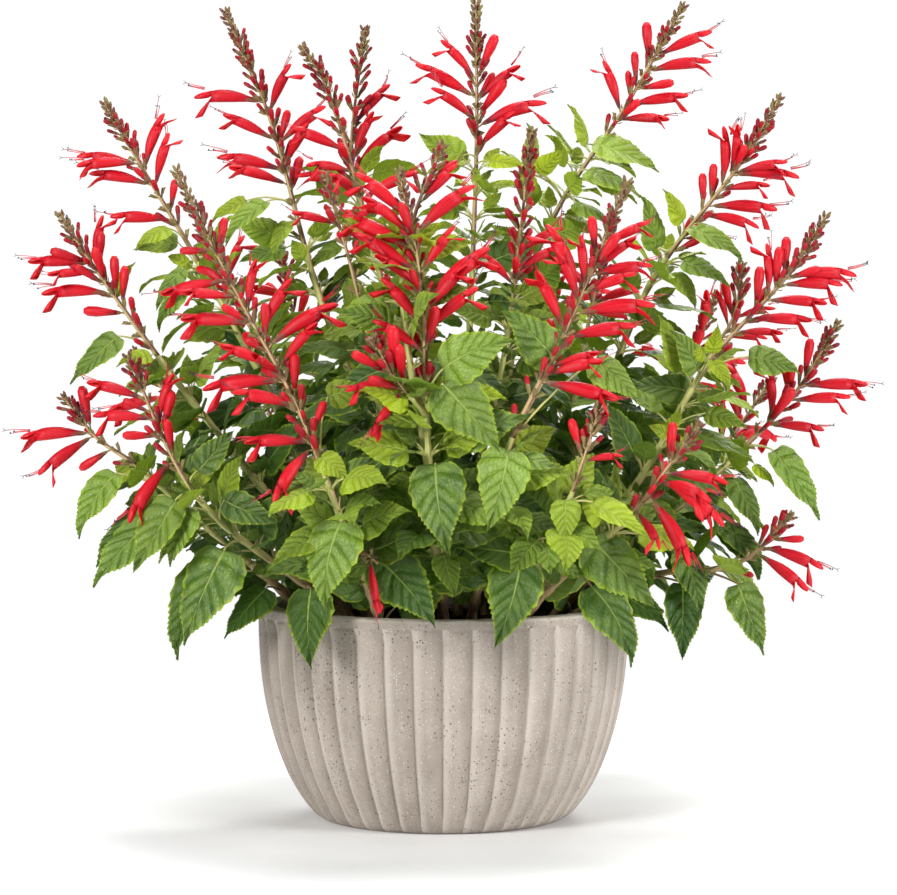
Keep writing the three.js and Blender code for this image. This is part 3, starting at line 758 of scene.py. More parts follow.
            (0.50, (-0.085, -0.232, 0.285), (-0.065, -0.242, 0.268)),
        ],
        "flowers": [
            (0.62, 270, 72, 1.00), (0.56, 300, 65, 0.85), (0.51, 70, 35, 0.75), (0.47, 270, 50, 1.05),
            (0.43, 80, 57, 0.90), (0.38, 90, 80, 1.15), (0.32, 300, 45, 0.85), (0.31, 75, 68, 0.85),
            (0.29, 340, 60, 0.70), (0.27, 270, 58, 1.15), (0.19, 300, 55, 0.95), (0.08, 270, 64, 0.95),
            (0.06, 290, 118, 1.00),
        ],
        "clubs": [(0.72, 270, 62), (0.70, 80, 35), (0.40, 60, 35), (0.10, 80, 45)],
    },
    "l": {
        "route": [
            (-0.075, -0.005, 0.130), (-0.120, -0.040, 0.175), (-0.175, -0.065, 0.225),
            (-0.225, -0.075, 0.270), (-0.255, -0.065, 0.290), (-0.280, -0.060, 0.320),
        ],
        "spike": 0.080,
        "leaves": [
            (0.66, (-0.240, -0.080, 0.265), (-0.270, -0.090, 0.220)),
            (0.50, (-0.205, -0.090, 0.235), (-0.255, -0.110, 0.185)),
            (0.38, (-0.165, -0.085, 0.200), (-0.195, -0.100, 0.130)),
            (0.24, (-0.130, -0.075, 0.180), (-0.160, -0.095, 0.145)),
            (0.60, (-0.205, -0.080, 0.240), (-0.255, -0.095, 0.200)),
        ],
        "flowers": [(0.57, 270, 44, 1.05), (0.53, 280, 80, 1.00)],
        "clubs": [(0.60, 85, 30), (0.32, 270, 60)],
    },
    "m": {
        "route": [
            (-0.060, -0.040, 0.130), (-0.085, -0.080, 0.170), (-0.125, -0.125, 0.205),
            (-0.160, -0.150, 0.235), (-0.190, -0.150, 0.275), (-0.225, -0.130, 0.350),
        ],
        "spike": 0.110,
        "leaves": [
            (0.26, (-0.095, -0.135, 0.185), (-0.095, -0.155, 0.130)),
            (0.66, (-0.190, -0.160, 0.250), (-0.220, -0.175, 0.200)),
            (0.50, (-0.155, -0.165, 0.215), (-0.185, -0.180, 0.150)),
            (0.57, (-0.155, -0.165, 0.250), (-0.115, -0.170, 0.235)),
            (0.60, (-0.180, -0.165, 0.245), (-0.195, -0.175, 0.205)),
            (0.68, (-0.175, -0.145, 0.270), (-0.150, -0.140, 0.300)),
        ],
        "flowers": [
            (0.70, 270, 46, 0.90), (0.55, 270, 58, 0.90), (0.52, 80, 36, 0.75), (0.24, 280, 112, 1.10),
        ],
        "clubs": [(0.43, 275, 65), (0.45, 80, 40)],
    },
    "n": {
        "route": [
            (0.000, -0.060, 0.130), (0.000, -0.095, 0.165), (-0.005, -0.170, 0.215),
            (-0.010, -0.230, 0.290), (-0.015, -0.210, 0.405), (-0.030, -0.190, 0.480),
        ],
        "spike": 0.160,
        "leaves": [
            (0.50, (-0.005, -0.237, 0.280), (0.005, -0.250, 0.220)),
            (0.36, (0.000, -0.190, 0.215), (0.010, -0.200, 0.185)),
            (0.60, (0.000, -0.240, 0.335), (0.040, -0.255, 0.290)),
            (0.63, (0.000, -0.235, 0.345), (0.050, -0.240, 0.365)),
        ],
        "flowers": [
            (0.79, 280, 32, 1.00), (0.71, 300, 42, 0.90), (0.71, 90, 55, 1.10), (0.64, 270, 52, 1.15),
            (0.54, 275, 50, 1.05), (0.54, 80, 42, 0.80), (0.47, 290, 45, 0.80), (0.41, 90, 52, 1.20),
            (0.36, 70, 45, 0.90), (0.30, 280, 34, 0.90), (0.28, 80, 50, 0.95), (0.18, 280, 50, 0.85),
        ],
    },
    "o": {
        "route": [
            (0.015, -0.040, 0.130), (0.025, -0.110, 0.180), (0.035, -0.190, 0.235), (0.045, -0.230, 0.290),
            (0.090, -0.205, 0.380), (0.130, -0.170, 0.475),
        ],
        "spike": 0.205,
        "leaves": [
            (0.50, (0.045, -0.242, 0.290), (0.030, -0.250, 0.235)),
            (0.30, (0.055, -0.185, 0.210), (0.035, -0.205, 0.150)),
            (0.54, (0.078, -0.215, 0.350), (0.040, -0.222, 0.385)),
            (0.56, (0.105, -0.205, 0.350), (0.135, -0.210, 0.320)),
        ],
        "flowers": [
            (0.75, 80, 40, 0.75), (0.66, 75, 30, 0.75), (0.63, 90, 50, 0.90), (0.58, 300, 30, 0.75),
            (0.56, 70, 45, 0.80), (0.53, 280, 38, 1.15), (0.52, 300, 45, 0.80), (0.48, 90, 52, 1.15),
            (0.41, 275, 50, 0.95), (0.39, 90, 52, 1.05), (0.27, 80, 45, 0.75), (0.24, 60, 55, 0.85),
            (0.21, 80, 76, 1.10),
        ],
        "clubs": [(0.70, 280, 28)],
    },
    "p": {
        "route": [
            (0.040, -0.060, 0.130), (0.065, -0.115, 0.170), (0.095, -0.160, 0.205), (0.134, -0.200, 0.245),
            (0.178, -0.190, 0.303),
        ],
        "spike": 0.085,
        "leaves": [
            (0.55, (0.105, -0.192, 0.225), (0.150, -0.205, 0.180)),
            (0.45, (0.105, -0.175, 0.190), (0.135, -0.185, 0.135)),
        ],
        "flowers": [
            (0.52, 70, 60, 0.90), (0.45, 80, 85, 1.10), (0.42, 40, 75, 1.00), (0.27, 75, 105, 1.15),
            (0.12, 60, 90, 0.70),
        ],
        "clubs": [(0.60, 280, 30)],
    },
    "q": {
        "route": [
            (-0.040, 0.035, 0.130), (-0.075, 0.075, 0.230), (-0.125, 0.120, 0.320), (-0.165, 0.140, 0.390),
            (-0.195, 0.145, 0.450),
        ],
        "spike": 0.130,
        "leaves": [
            (0.60, (-0.150, 0.100, 0.345), (-0.188, 0.085, 0.350)),
            (0.55, (-0.140, 0.085, 0.305), (-0.190, 0.070, 0.295)),
        ],
        "leafy": 0.30,
    },
    "r": {
        "route": [
            (-0.025, 0.050, 0.130), (-0.050, 0.110, 0.210), (-0.090, 0.180, 0.300), (-0.120, 0.215, 0.370),
            (-0.135, 0.220, 0.440),
        ],
        "spike": 0.140,
        "leafy": 0.45,
    },
    "s": {
        "route": [
            (-0.005, 0.060, 0.130), (-0.020, 0.120, 0.215), (-0.035, 0.190, 0.300), (-0.038, 0.225, 0.380),
            (-0.030, 0.235, 0.455),
        ],
        "spike": 0.150,
        "leafy": 0.45,
    },
    "t": {
        "route": [
            (0.020, 0.060, 0.130), (0.045, 0.120, 0.210), (0.075, 0.195, 0.290), (0.090, 0.230, 0.360),
            (0.095, 0.245, 0.440),
        ],
        "spike": 0.110,
        "leafy": 0.45,
    },
    "u": {
        "route": [
            (0.035, 0.045, 0.130), (0.070, 0.090, 0.230), (0.100, 0.135, 0.310), (0.120, 0.160, 0.390),
            (0.135, 0.170, 0.450),
        ],
        "spike": 0.150,
        "leafy": 0.45,
    },
    "v": {
        "route": [
            (0.050, 0.035, 0.130), (0.100, 0.075, 0.210), (0.155, 0.125, 0.280), (0.195, 0.155, 0.340),
            (0.220, 0.170, 0.395),
        ],
        "spike": 0.130,
        "leafy": 0.30,
    },
    "w": {
        "route": [
            (0.065, 0.020, 0.130), (0.125, 0.045, 0.190), (0.195, 0.085, 0.250), (0.235, 0.105, 0.295),
            (0.262, 0.115, 0.335),
        ],
        "spike": 0.110,
        "leafy": 0.25,
    },
    "x": {
        "route": [
            (-0.060, 0.025, 0.130), (-0.115, 0.060, 0.195), (-0.170, 0.105, 0.255), (-0.215, 0.130, 0.310),
            (-0.245, 0.135, 0.350),
        ],
        "spike": 0.115,
        "leaves": [
            (0.62, (-0.190, 0.095, 0.285), (-0.208, 0.075, 0.238)),
        ],
        "leafy": 0.25,
    },
}

# Side shoots have the stem that they fork from, the place along it, and the rest of their route.
side_shoots = {
    "01": {
        "from": "b", "at": 0.63, "spike": 0.120,
        "route": [(-0.070, 0.045, 0.500), (-0.060, 0.060, 0.598)],
        "flowers": [(0.38, 90, 32, 0.85), (0.15, 60, 25, 0.80), (0.08, 90, 47, 1.00)],
    },
    "02": {
        "from": "n", "at": 0.50, "spike": 0.070,
        "route": [(-0.028, -0.190, 0.390), (-0.020, -0.185, 0.450), (0.000, -0.165, 0.500)],
        "leaves": [
            (0.42, (-0.035, -0.205, 0.375), (-0.072, -0.215, 0.385)),
        ],
        "flowers": [(0.33, 90, 22, 0.80)],
        "clubs": [(0.60, 90, 30)],
    },
    "03": {
        "from": "c", "at": 0.20, "spike": 0.130,
        "route": [(0.035, -0.045, 0.300), (0.050, -0.070, 0.385), (0.065, -0.060, 0.515)],
        "leaves": [
            (0.44, (0.040, -0.056, 0.350), (0.012, -0.062, 0.342)),
            (0.44, (0.056, -0.064, 0.348), (0.084, -0.074, 0.336)),
            (0.36, (0.034, -0.052, 0.322), (0.006, -0.060, 0.308)),
        ],
        "flowers": [(0.30, 80, 45, 0.70), (0.20, 110, 50, 0.75), (0.12, 250, 50, 0.70)],
        "leafy": 0.10,
    },
    "04": {
        "from": "p", "at": 0.20, "spike": 0.060,
        "route": [
            (0.065, -0.165, 0.200), (0.082, -0.220, 0.240), (0.095, -0.235, 0.277), (0.108, -0.230, 0.317),
        ],
        "leaves": [
            (0.60, (0.085, -0.235, 0.255), (0.085, -0.245, 0.225)),
        ],
        "flowers": [(0.36, 90, 55, 0.55)],
        "clubs": [(0.40, 270, 35)],
        "paleness": 0.6,
    },
    "05": {
        "from": "n", "at": 0.60, "spike": 0.045,
        "route": [(-0.033, -0.245, 0.340), (-0.047, -0.245, 0.365)],
        "flowers": [(0.25, 280, 55, 0.75), (0.08, 290, 95, 0.80)],
        "clubs": [(0.45, 270, 30), (0.35, 80, 30), (0.15, 80, 30)],
        "paleness": 0.6,
    },
    "06": {
        "from": "a", "at": 0.17, "spike": 0.095,
        "route": [(-0.045, -0.060, 0.300), (-0.060, -0.108, 0.390), (-0.085, -0.095, 0.480)],
        "leaves": [
            (0.25, (-0.035, -0.065, 0.275), (-0.065, -0.085, 0.250)),
        ],
        "flowers": [(0.62, 280, 60, 0.70), (0.50, 90, 50, 0.70)],
    },
    "07": {
        "from": "e", "at": 0.25, "spike": 0.075,
        "route": [(0.150, 0.025, 0.300), (0.216, 0.025, 0.368), (0.228, 0.035, 0.420)],
        "flowers": [(0.40, 80, 45, 0.65), (0.30, 280, 45, 0.60), (0.18, 60, 50, 0.70)],
    },
    "08": {
        "from": "k", "at": 0.20, "spike": 0.014,
        "route": [(-0.045, -0.185, 0.205), (-0.052, -0.210, 0.215)],
        "flowers": [(0.60, 320, 100, 0.80)],
    },
    "09": {
        "from": "r", "at": 0.10, "spike": 0.080,
        "route": [
            (-0.080, 0.150, 0.195), (-0.115, 0.210, 0.225), (-0.135, 0.240, 0.260), (-0.150, 0.250, 0.320),
        ],
    },
    "10": {
        "from": "t", "at": 0.10, "spike": 0.080,
        "route": [
            (0.080, 0.150, 0.190), (0.140, 0.205, 0.215), (0.170, 0.230, 0.255), (0.190, 0.240, 0.310),
        ],
    },
}


def unit(vectors):
    """Vectors made one long."""
    return vectors / np.linalg.norm(vectors, axis=-1, keepdims=True)


class Route:
    """Smooth line through points. A place on it runs from 0 at its start to 1 at its end."""

    def __init__(self, points):
        spots = np.array(points, float)
        spots = np.concatenate([[2 * spots[0] - spots[1]], spots, [2 * spots[-1] - spots[-2]]])
        runs = len(spots) - 3
        share = np.linspace(0, runs, 90 * runs + 1)
        run = np.minimum(share.astype(int), runs - 1)
        rest = (share - run)[:, None]
        before, start, end, after = (spots[run + k] for k in range(4))
        leave = (end - before) / 2
        arrive = (after - start) / 2
        cubic = 2 * start - 2 * end + leave + arrive
        square = -3 * start + 3 * end - 2 * leave - arrive
        self.line = ((cubic * rest + square) * rest + leave) * rest + start
        steps = np.linalg.norm(np.diff(self.line, axis=0), axis=1)
        self.ways = np.concatenate([[0], np.cumsum(steps)])
        self.length = self.ways[-1]

    def at(self, place):
        """The point at a place, or the points at several."""
        way = np.asarray(place) * self.length
        return np.stack([np.interp(way, self.ways, self.line[:, axis]) for axis in range(3)], -1)

    def along(self, place):
        """The direction of the line at a place."""
        step = 0.002 / self.length
        return unit(self.at(min(place + step, 1)) - self.at(max(place - step, 0)))


def square_to(line):
    """Two directions square to a line, at each of its points, that turn as little as they can."""
    along = unit(np.gradient(line, axis=0))
    side = np.zeros_like(line)
    start = np.cross(along[0], (0.0, -1.0, 0.0))
    side[0] = unit(start if np.linalg.norm(start) > 0.1 else np.cross(along[0], (1.0, 0.0, 0.0)))
    for step in range(1, len(line)):
        level = side[step - 1] - along[step] * np.dot(side[step - 1], along[step])
        side[step] = unit(level)
    return side, np.cross(along, side)


def tube(line, radii, sides, square=0.0):
    """A closed rod through points, square to a degree. Gives its points, faces and places."""
    line = np.asarray(line, float)
    side, up = square_to(line)
    turn = np.arange(sides) * 2 * math.pi / sides
    radii = np.broadcast_to(radii, len(line))[:, None] * (1 + square * np.cos(4 * turn))[None, :]
    spread = np.cos(turn)[None, :, None] * side[:, None] + np.sin(turn)[None, :, None] * up[:, None]
    points, corners = close_rings(line[:, None] + radii[..., None] * spread, line[0], line[-1])
    way = np.concatenate([[0], np.cumsum(np.linalg.norm(np.diff(line, axis=0), axis=1))])
    marks = [np.stack([np.cos(turn), np.sin(turn), np.full(sides, w)], 1) for w in way]
    places = np.concatenate([[[0, 0, way[0]]], *marks, [[0, 0, way[-1]]]])
    return points, corners, places


bark, tree, shader = finish("green_and_woody_stem", Roughness=0.55)
around, _, _, place = read_values(tree, "place")
flush, spike_part, _, _ = read_values(tree, "look")
point = add_node(tree, "TexCoord", {}).outputs["Object"]
high = add_node(tree, "SeparateXYZ", {0: point}).outputs[2]
lines = clouds(tree, stretched(tree, place, (2.5, 2.5, 40)), 1.0, 2.0)
mottle = clouds(tree, point, 260.0, 3.0)
tone = blend(tree, fade(tree, lines, 0.3, 0.7), colour(160, 172, 86), colour(202, 200, 126))
uneven = calc(tree, "ADD", around, mottle)
red_share = calc(tree, "MULTIPLY", fade(tree, uneven, 0.5, 1.6), flush)
tone = blend(tree, red_share, tone, colour(166, 104, 74))
spike_tone = blend(tree, fade(tree, uneven, 0.1, 0.9), colour(186, 162, 108), colour(100, 40, 44))
spike_tone = blend(tree, fade(tree, mottle, 0.3, 0.8, 0.0, 0.5), spike_tone, colour(196, 176, 122))
tone = blend(tree, spike_part, tone, spike_tone)
uneven_height = calc(tree, "MULTIPLY_ADD", mottle, 0.03, high)
woody = fade(tree, uneven_height, WOODY_TOP - 0.03, WOODY_TOP + 0.05, 1.0, 0.0)
wood_lines = clouds(tree, stretched(tree, place, (6, 6, 160)), 1.0, 4.0)
wood = blend(tree, fade(tree, wood_lines, 0.3, 0.7), colour(96, 76, 50), colour(168, 140, 100))
tone = blend(tree, woody, tone, wood)
dullness = fade(tree, woody, 0.0, 1.0, 0.5, 0.85)
ridges = calc(tree, "MULTIPLY_ADD", wood_lines, woody, calc(tree, "MULTIPLY", lines, 0.4))
cover(tree, shader, Base_Color=tone, Roughness=dullness, Normal=bump(tree, ridges, 0.0005))


class Shoot:
    """One stem or side shoot: its route, where its spike starts, its radius, and its own dice."""

    def __init__(self, row, number, parent=None):
        points = row["route"]
        if parent:
            points = [tuple(parent.route.at(row["at"])), *points]
        self.row = row
        self.parent = parent
        self.route = Route(points)
        self.spike_start = 1 - row["spike"] / self.route.length
        self.dice = np.random.default_rng(100 + number)
        self.foot = SIDE_SHOOT_RADIUS if parent else FOOT_RADIUS
        self.neck = SIDE_NECK_RADIUS if parent else NECK_RADIUS
        self.stem, self.leaves, self.calyces, self.petals = Batch(), Batch(), Batch(), Batch()

    def radius(self, place):
        """How thick the stem is at a place: a long stem thins most near its foot."""
        share = np.clip(np.asarray(place) / self.spike_start, 0, 1)
        return self.foot + (self.neck - self.foot) * (share if self.parent else np.sqrt(share))


shoots = {}
for key, row in stems.items():
    shoots[key] = Shoot(row, len(shoots))
for key, row in side_shoots.items():
    shoots[key] = Shoot(row, len(shoots), shoots[row["from"]])


def leaf_nodes(shoot):
    """Places along a stem where a pair of leaves grows, closer together towards the spike."""
    leafy = shoot.row.get("leafy", 0.0)
    end = (shoot.spike_start + (1 - shoot.spike_start) * leafy) * shoot.route.length
    way = FIRST_SIDE_NODE if shoot.parent else FIRST_NODE
    found = []
    while way < end - LAST_NODE_GAP:
        found.append(way / shoot.route.length)
        way += NODE_SPACING * (1.1 - 0.5 * way / end)
    return found


for shoot in shoots.values():
    steps = max(8, int(shoot.spike_start * shoot.route.length / STEM_STEP))
    places = np.linspace(0, shoot.spike_start, steps + 1)
    radii = shoot.radius(places)
    shoot.nodes = leaf_nodes(shoot)
    for node in shoot.nodes:
        apart = (places - node) * shoot.route.length
        radii = radii * (1 + NODE_SWELLING * np.exp(-((apart / NODE_REACH) ** 2)))
    line = shoot.route.at(places)
    points, corners, spots = tube(line, radii, STEM_SIDES, SQUARENESS)
    shoot.stem.add(points, corners, spots, (shoot.dice.uniform(0.2, 0.9), 0, shoot.dice.uniform()))


# Leaves
# Egg-shaped toothed leaves on short stalks, in pairs, each pair a quarter turn from the last. The
# blade is quilted between sunken veins, mid green above and paler below, and lime when young. The
# leaves that show best are listed one by one, and the others grow where there is room.
LOW_LEAF_LENGTH = 0.066
TOP_LEAF_LENGTH = 0.042
LEAF_WIDTH = 0.33
LEAF_POINT = 1.25
YOUNG_LENGTH = 0.020
GROWN_LENGTH = 0.040
CROWN_LOW = 0.38
CROWN_HIGH = 0.50
LEAF_THICKNESS = 0.00035
MIDRIB_THICKNESS = 0.0007
TOOTH_DEPTH = 0.04
TOOTH_REACH = 0.008
EDGE_WAVE = 0.016
QUILT_RELIEF = 0.009
VEIN_LEAN = 0.38
STALK_LENGTH = 0.016
STALK_RADIUS = 0.0009
# The middle of the bush, and the distances from it inside which leaves get full painted shade and beyond
# which they get none.
HEART = np.array([0.0, 0.0, 0.24])
HEART_NEAR = 0.13
HEART_FAR = 0.28
SKIRT_TOP = 0.195
SKIRT_FRONT = -0.04
CELL = 0.0075
CLEAR_STEPS = 7
TRIES = 9
MOST_CROWDED_LEAF = 0.36
MOST_CROWDED_TUFT = 0.34


def leaf_form(veins, rows_a_vein, columns, stalk_sides, base):
    """The grid of a leaf, upper and lower face. Its rows run from the midrib out to the edge, the way
    that the side veins do. Across is -1 to 1, and run is 0 at the base and 1 at the tip."""
    rows = veins * rows_a_vein
    wide = len(columns)
    run, across = np.meshgrid(np.linspace(0, 1, rows + 1), columns, indexing="ij")
    upper = np.zeros(run.shape, int)
    upper[1:-1] = 2 + np.arange((rows - 1) * wide).reshape(rows - 1, wide)
    upper[-1] = 1
    lower = upper.copy()
    count = 2 + (rows - 1) * wide
    lower[1:-1, 1:-1] = count + np.arange((rows - 1) * (wide - 2)).reshape(rows - 1, wide - 2)
    form = {name: np.zeros(lower.max() + 1) for name in ("across", "run", "under")}
    for grid, under in ((lower, 1.0), (upper, 0.0)):
        form["across"][grid] = across
        form["run"][grid] = run
        form["under"][grid] = under
    for name in ("across", "under"):
        form[name][:2] = 0
    form["corners"] = np.concatenate([skin(upper), skin(lower)[:, ::-1]])
    form["marks"] = np.repeat([0, 1], (wide - 1) * rows)
    form.update(veins=veins, rows=rows, stalk_sides=stalk_sides, base=base)
    return form


near_form = leaf_form(7, 4, np.array([-1, -0.65, -0.25, 0, 0.25, 0.65, 1]), 6, 0.46)
common_form = leaf_form(7, 3, np.array([-1, -0.4, 0, 0.4, 1]), 4, 0.50)
young_form = leaf_form(5, 2, np.array([-1, 0, 1]), 3, 0.72)


def half_width(ahead, base=0.46):
    """Half the width of a blade as a share of its greatest, at a place from base to tip. The base is
    broad and round where its number is low, and narrow where it is high."""
    ahead = np.clip(ahead, 0, 1)
    widest = base / (LEAF_POINT + base)
    return ahead**base * (1 - ahead) ** LEAF_POINT / (widest**base * (1 - widest) ** LEAF_POINT)


def leaf_shape(form, base, tip, up, width, fold, arch, curl, relief, dice):
    """Points of one leaf between its base and tip, and the places that its material reads."""
    across, run, under = form["across"], form["run"], form["under"]
    length = np.linalg.norm(tip - base)
    ahead = (tip - base) / length
    face = unit(up - np.dot(up, ahead) * ahead)
    side = np.cross(face, ahead)
    out = np.abs(across)
    way = run**1.15
    lean = VEIN_LEAN * smooth(way, 0, 0.3) * (1 - way) ** 0.8
    tooth = np.cos(math.pi * run * form["rows"]) * (out == 1) * (way < 0.97)
    half = width * length * half_width(way + lean, form["base"]) * (1 - TOOTH_DEPTH * tooth)
    forward = way + lean * out**1.3 - TOOTH_REACH * tooth - 0.05 * out**2 * (1 - way) ** 9
    panel = np.sin(math.pi * form["veins"] * run) ** 2
    quilt = relief * panel * smooth(out, 0.0, 0.2) * (1 - 0.7 * out**3) * (1 - way) ** 0.7
    quilt = quilt - 0.7 * relief * np.exp(-((across / 0.1) ** 2))
    wave = EDGE_WAVE * np.sin(13 * way + dice.uniform(0, 6) + 1.3 * np.sign(across)) * out**2
    lift = arch * 4 * way * (1 - way) - curl * way**3
    rise = length * (lift + wave + quilt) + out * half * math.sin(fold) - 0.28 * half * across**2
    midrib = MIDRIB_THICKNESS * np.exp(-((across / 0.08) ** 2)) * (1 - way)
    rise = rise - under * (LEAF_THICKNESS + midrib)
    sway = dice.uniform(-0.06, 0.06)
    slide = across * half * math.cos(fold) + sway * length * 4 * way * (1 - way)
    points = base + np.outer(forward * length, ahead) + np.outer(slide, side) + np.outer(rise, face)
    return points, np.stack([across, form["veins"] * run, way], 1)


def vein_group():
    """Masks of the midrib, the side veins and the net of small veins, and the height of the quilting,
    from a place on a blade: across it, in steps from side vein to side vein, and from base to tip."""
    tree = bpy.data.node_groups.new("leaf_veins", "ShaderNodeTree")
    tree.interface.new_socket("Place", in_out="INPUT", socket_type="NodeSocketVector")
    tree.interface.new_socket("Chance", in_out="INPUT", socket_type="NodeSocketFloat")
    for label in ("Midrib", "Side Veins", "Net", "Panel", "Relief"):
        tree.interface.new_socket(label, in_out="OUTPUT", socket_type="NodeSocketFloat")
    given = tree.nodes.new("NodeGroupInput").outputs
    result = tree.nodes.new("NodeGroupOutput").inputs
    across, step, ahead = add_node(tree, "SeparateXYZ", {0: given["Place"]}).outputs
    from_middle = calc(tree, "ABSOLUTE", across)
    taper = fade(tree, ahead, 0.0, 1.0, 0.06, 0.04)
    midrib = fade(tree, calc(tree, "DIVIDE", from_middle, taper), 0.4, 1.1, 1.0, 0.0)
    shift = calc(tree, "MULTIPLY", given["Chance"], 37.0)
    moved = add_node(tree, "VectorMath", {0: given["Place"], 1: shift}, operation="ADD").outputs[0]
    wobble = calc(tree, "SUBTRACT", clouds(tree, stretched(tree, moved, (3, 1.5, 0)), 1.0, 2.0), 0.5)
    apart = calc(tree, "PINGPONG", calc(tree, "MULTIPLY_ADD", wobble, 0.2, step), 0.5)
    before_tip = fade(tree, ahead, 0.72, 0.95, 1.0, 0.15)
    side_veins = calc(tree, "MULTIPLY", fade(tree, apart, 0.01, 0.085, 1.0, 0.0), before_tip)
    flat = stretched(tree, moved, (8.0, 2.6, 0))
    cells = add_node(tree, "TexVoronoi", {"Vector": flat, "Scale": 1.0}, feature="DISTANCE_TO_EDGE")
    net = fade(tree, cells.outputs["Distance"], 0.01, 0.14, 1.0, 0.0)
    panel = fade(tree, apart, 0.02, 0.3)
    puff = fade(tree, cells.outputs["Distance"], 0.0, 0.3)
    puffed = calc(tree, "MULTIPLY_ADD", puff, 0.4, panel)
    relief = calc(tree, "MULTIPLY", puffed, fade(tree, from_middle, 0.0, 0.1))
    made = {"Midrib": midrib, "Side Veins": side_veins, "Net": net, "Panel": panel, "Relief": relief}
    for label, value in made.items():
        tree.links.new(value, result[label])
    return tree


veins = vein_group()


def shine_through(tree, shader, share, light):
    """Lets a share of the light through a thin surface, in a colour of its own."""
    through = add_node(tree, "BsdfTranslucent", {"Color": light})
    both = add_node(tree, "MixShader", {0: share, 1: shader.outputs[0], 2: through.outputs[0]})
    tree.links.new(both.outputs[0], tree.nodes["Material Output"].inputs["Surface"])


def leaf_finish(name, young, mature, deep, vein_tone, glow, raised, roughness):
    """A leaf face: its greens from young to painted shade, its veins, and the light that shines through."""
    material, tree, shader = finish(name, Specular_IOR_Level=0.42, Sheen_Weight=0.04, Sheen_Roughness=0.4)
    across, _, _, place = read_values(tree, "place")
    youth, shade, chance, _ = read_values(tree, "look")
    web = add_node(tree, "Group", {"Place": place, "Chance": chance}, node_tree=veins).outputs
    point = add_node(tree, "TexCoord", {}).outputs["Object"]
    patches = clouds(tree, point, 70.0, 3.0)
    fine = clouds(tree, point, 900.0, 2.0, 0.6)
    # Painted shade: the second look value, a random tone plus the shade deep in the bush, darkens the green
    # towards the deep one, together with the patches.
    tone = blend(tree, fade(tree, calc(tree, "ADD", patches, shade), 0.55, 1.3), mature, deep)
    tone = blend(tree, youth, tone, young)
    # Painted highlight: the puffed panels between the veins are painted paler, a painted sheen that fades on
    # leaves in painted shade.
    pale = blend(tree, youth, colour(192, 214, 150), colour(214, 230, 84))
    in_light = fade(tree, shade, 0.2, 1.2, 1.0, 0.2)
    painted_sheen = calc(tree, "MULTIPLY", fade(tree, fine, 0.3, 0.75, 0.1, 0.45), in_light)
    tone = blend(tree, calc(tree, "MULTIPLY", web["Panel"], painted_sheen), tone, pale)
    edge = fade(tree, calc(tree, "ABSOLUTE", across), 0.86, 1.0, 0.0, 0.5)
    tone = blend(tree, edge, tone, young)
    # On the upper face the dark vein tone is painted shade in the sunken side veins and net of small veins;
    # the lower face's veins keep their own pale colour.
    dark_vein = blend(tree, youth, vein_tone, blend(tree, 0.35, young, vein_tone))
    tone = blend(tree, calc(tree, "MULTIPLY", web["Net"], 0.4), tone, dark_vein)
    tone = blend(tree, calc(tree, "MULTIPLY", web["Side Veins"], 0.75), tone, dark_vein)
    tone = blend(tree, calc(tree, "MULTIPLY", web["Midrib"], 0.7), tone, colour(176, 196, 98))
    dullness = fade(tree, fine, 0.3, 0.7, roughness - 0.06, roughness + 0.1)
    height = calc(tree, "MULTIPLY_ADD", fine, 0.1, web["Relief"])
    cover(tree, shader, Base_Color=tone, Roughness=dullness, Normal=bump(tree, height, 0.0010 * raised))
    shine_through(tree, shader, 0.28, blend(tree, youth, glow, young))
    return material


# The deep greens are partly a random darker tone and partly the painted shade of leaves deep in the bush.
leaf_upper = leaf_finish(
    "leaf_upper_face", colour(202, 222, 16), colour(140, 172, 48), colour(36, 72, 8),
    # Its dark vein tone is painted shade in the sunken veins.
    colour(50, 86, 14), colour(156, 206, 4), 1.0, 0.44,
)
leaf_lower = leaf_finish(
    "leaf_lower_face", colour(198, 220, 40), colour(140, 172, 54), colour(56, 94, 18),
    colour(176, 198, 84), colour(156, 206, 4), -0.8, 0.6,
)

# Cells of space that something fills, and cells in front of the listed leaves, which stay free
taken = set()
kept_clear = set()


def cells_of(points):
    """The cells of space that some points lie in."""
    return {tuple(cell) for cell in np.round(np.asarray(points) / CELL).astype(int)}


def crowding(points):
    """Share of some points that lie where something has been placed, in the pot, or in the room that
    is kept clear."""
    points = np.asarray(points)
    rounds = np.hypot(points[:, 0], points[:, 1])
    in_pot = (rounds < POT_RADIUS + 0.004) & (points[:, 2] < POT_HEIGHT + 0.003)
    cells = np.round(points / CELL).astype(int)
    used = np.array([tuple(cell) in taken or tuple(cell) in kept_clear for cell in cells])
    return np.mean(used | in_pot) + 2 * np.mean(in_pot)


def stalk(batch, root, base, leave, radius, sides, look):
    """A leaf stalk: a thin rod from the stem to the blade, curved as it leaves."""
    reach = np.linalg.norm(base - root)
    middle = root + leave * reach * 0.55
    share = np.linspace(0, 1, max(sides, 4))[:, None]
    line = (1 - share) ** 2 * root + 2 * share * (1 - share) * middle + share**2 * base
    points, corners, spots = tube(line, radius * np.linspace(1.25, 0.8, len(line)), sides)
    batch.add(points, corners, spots, look)


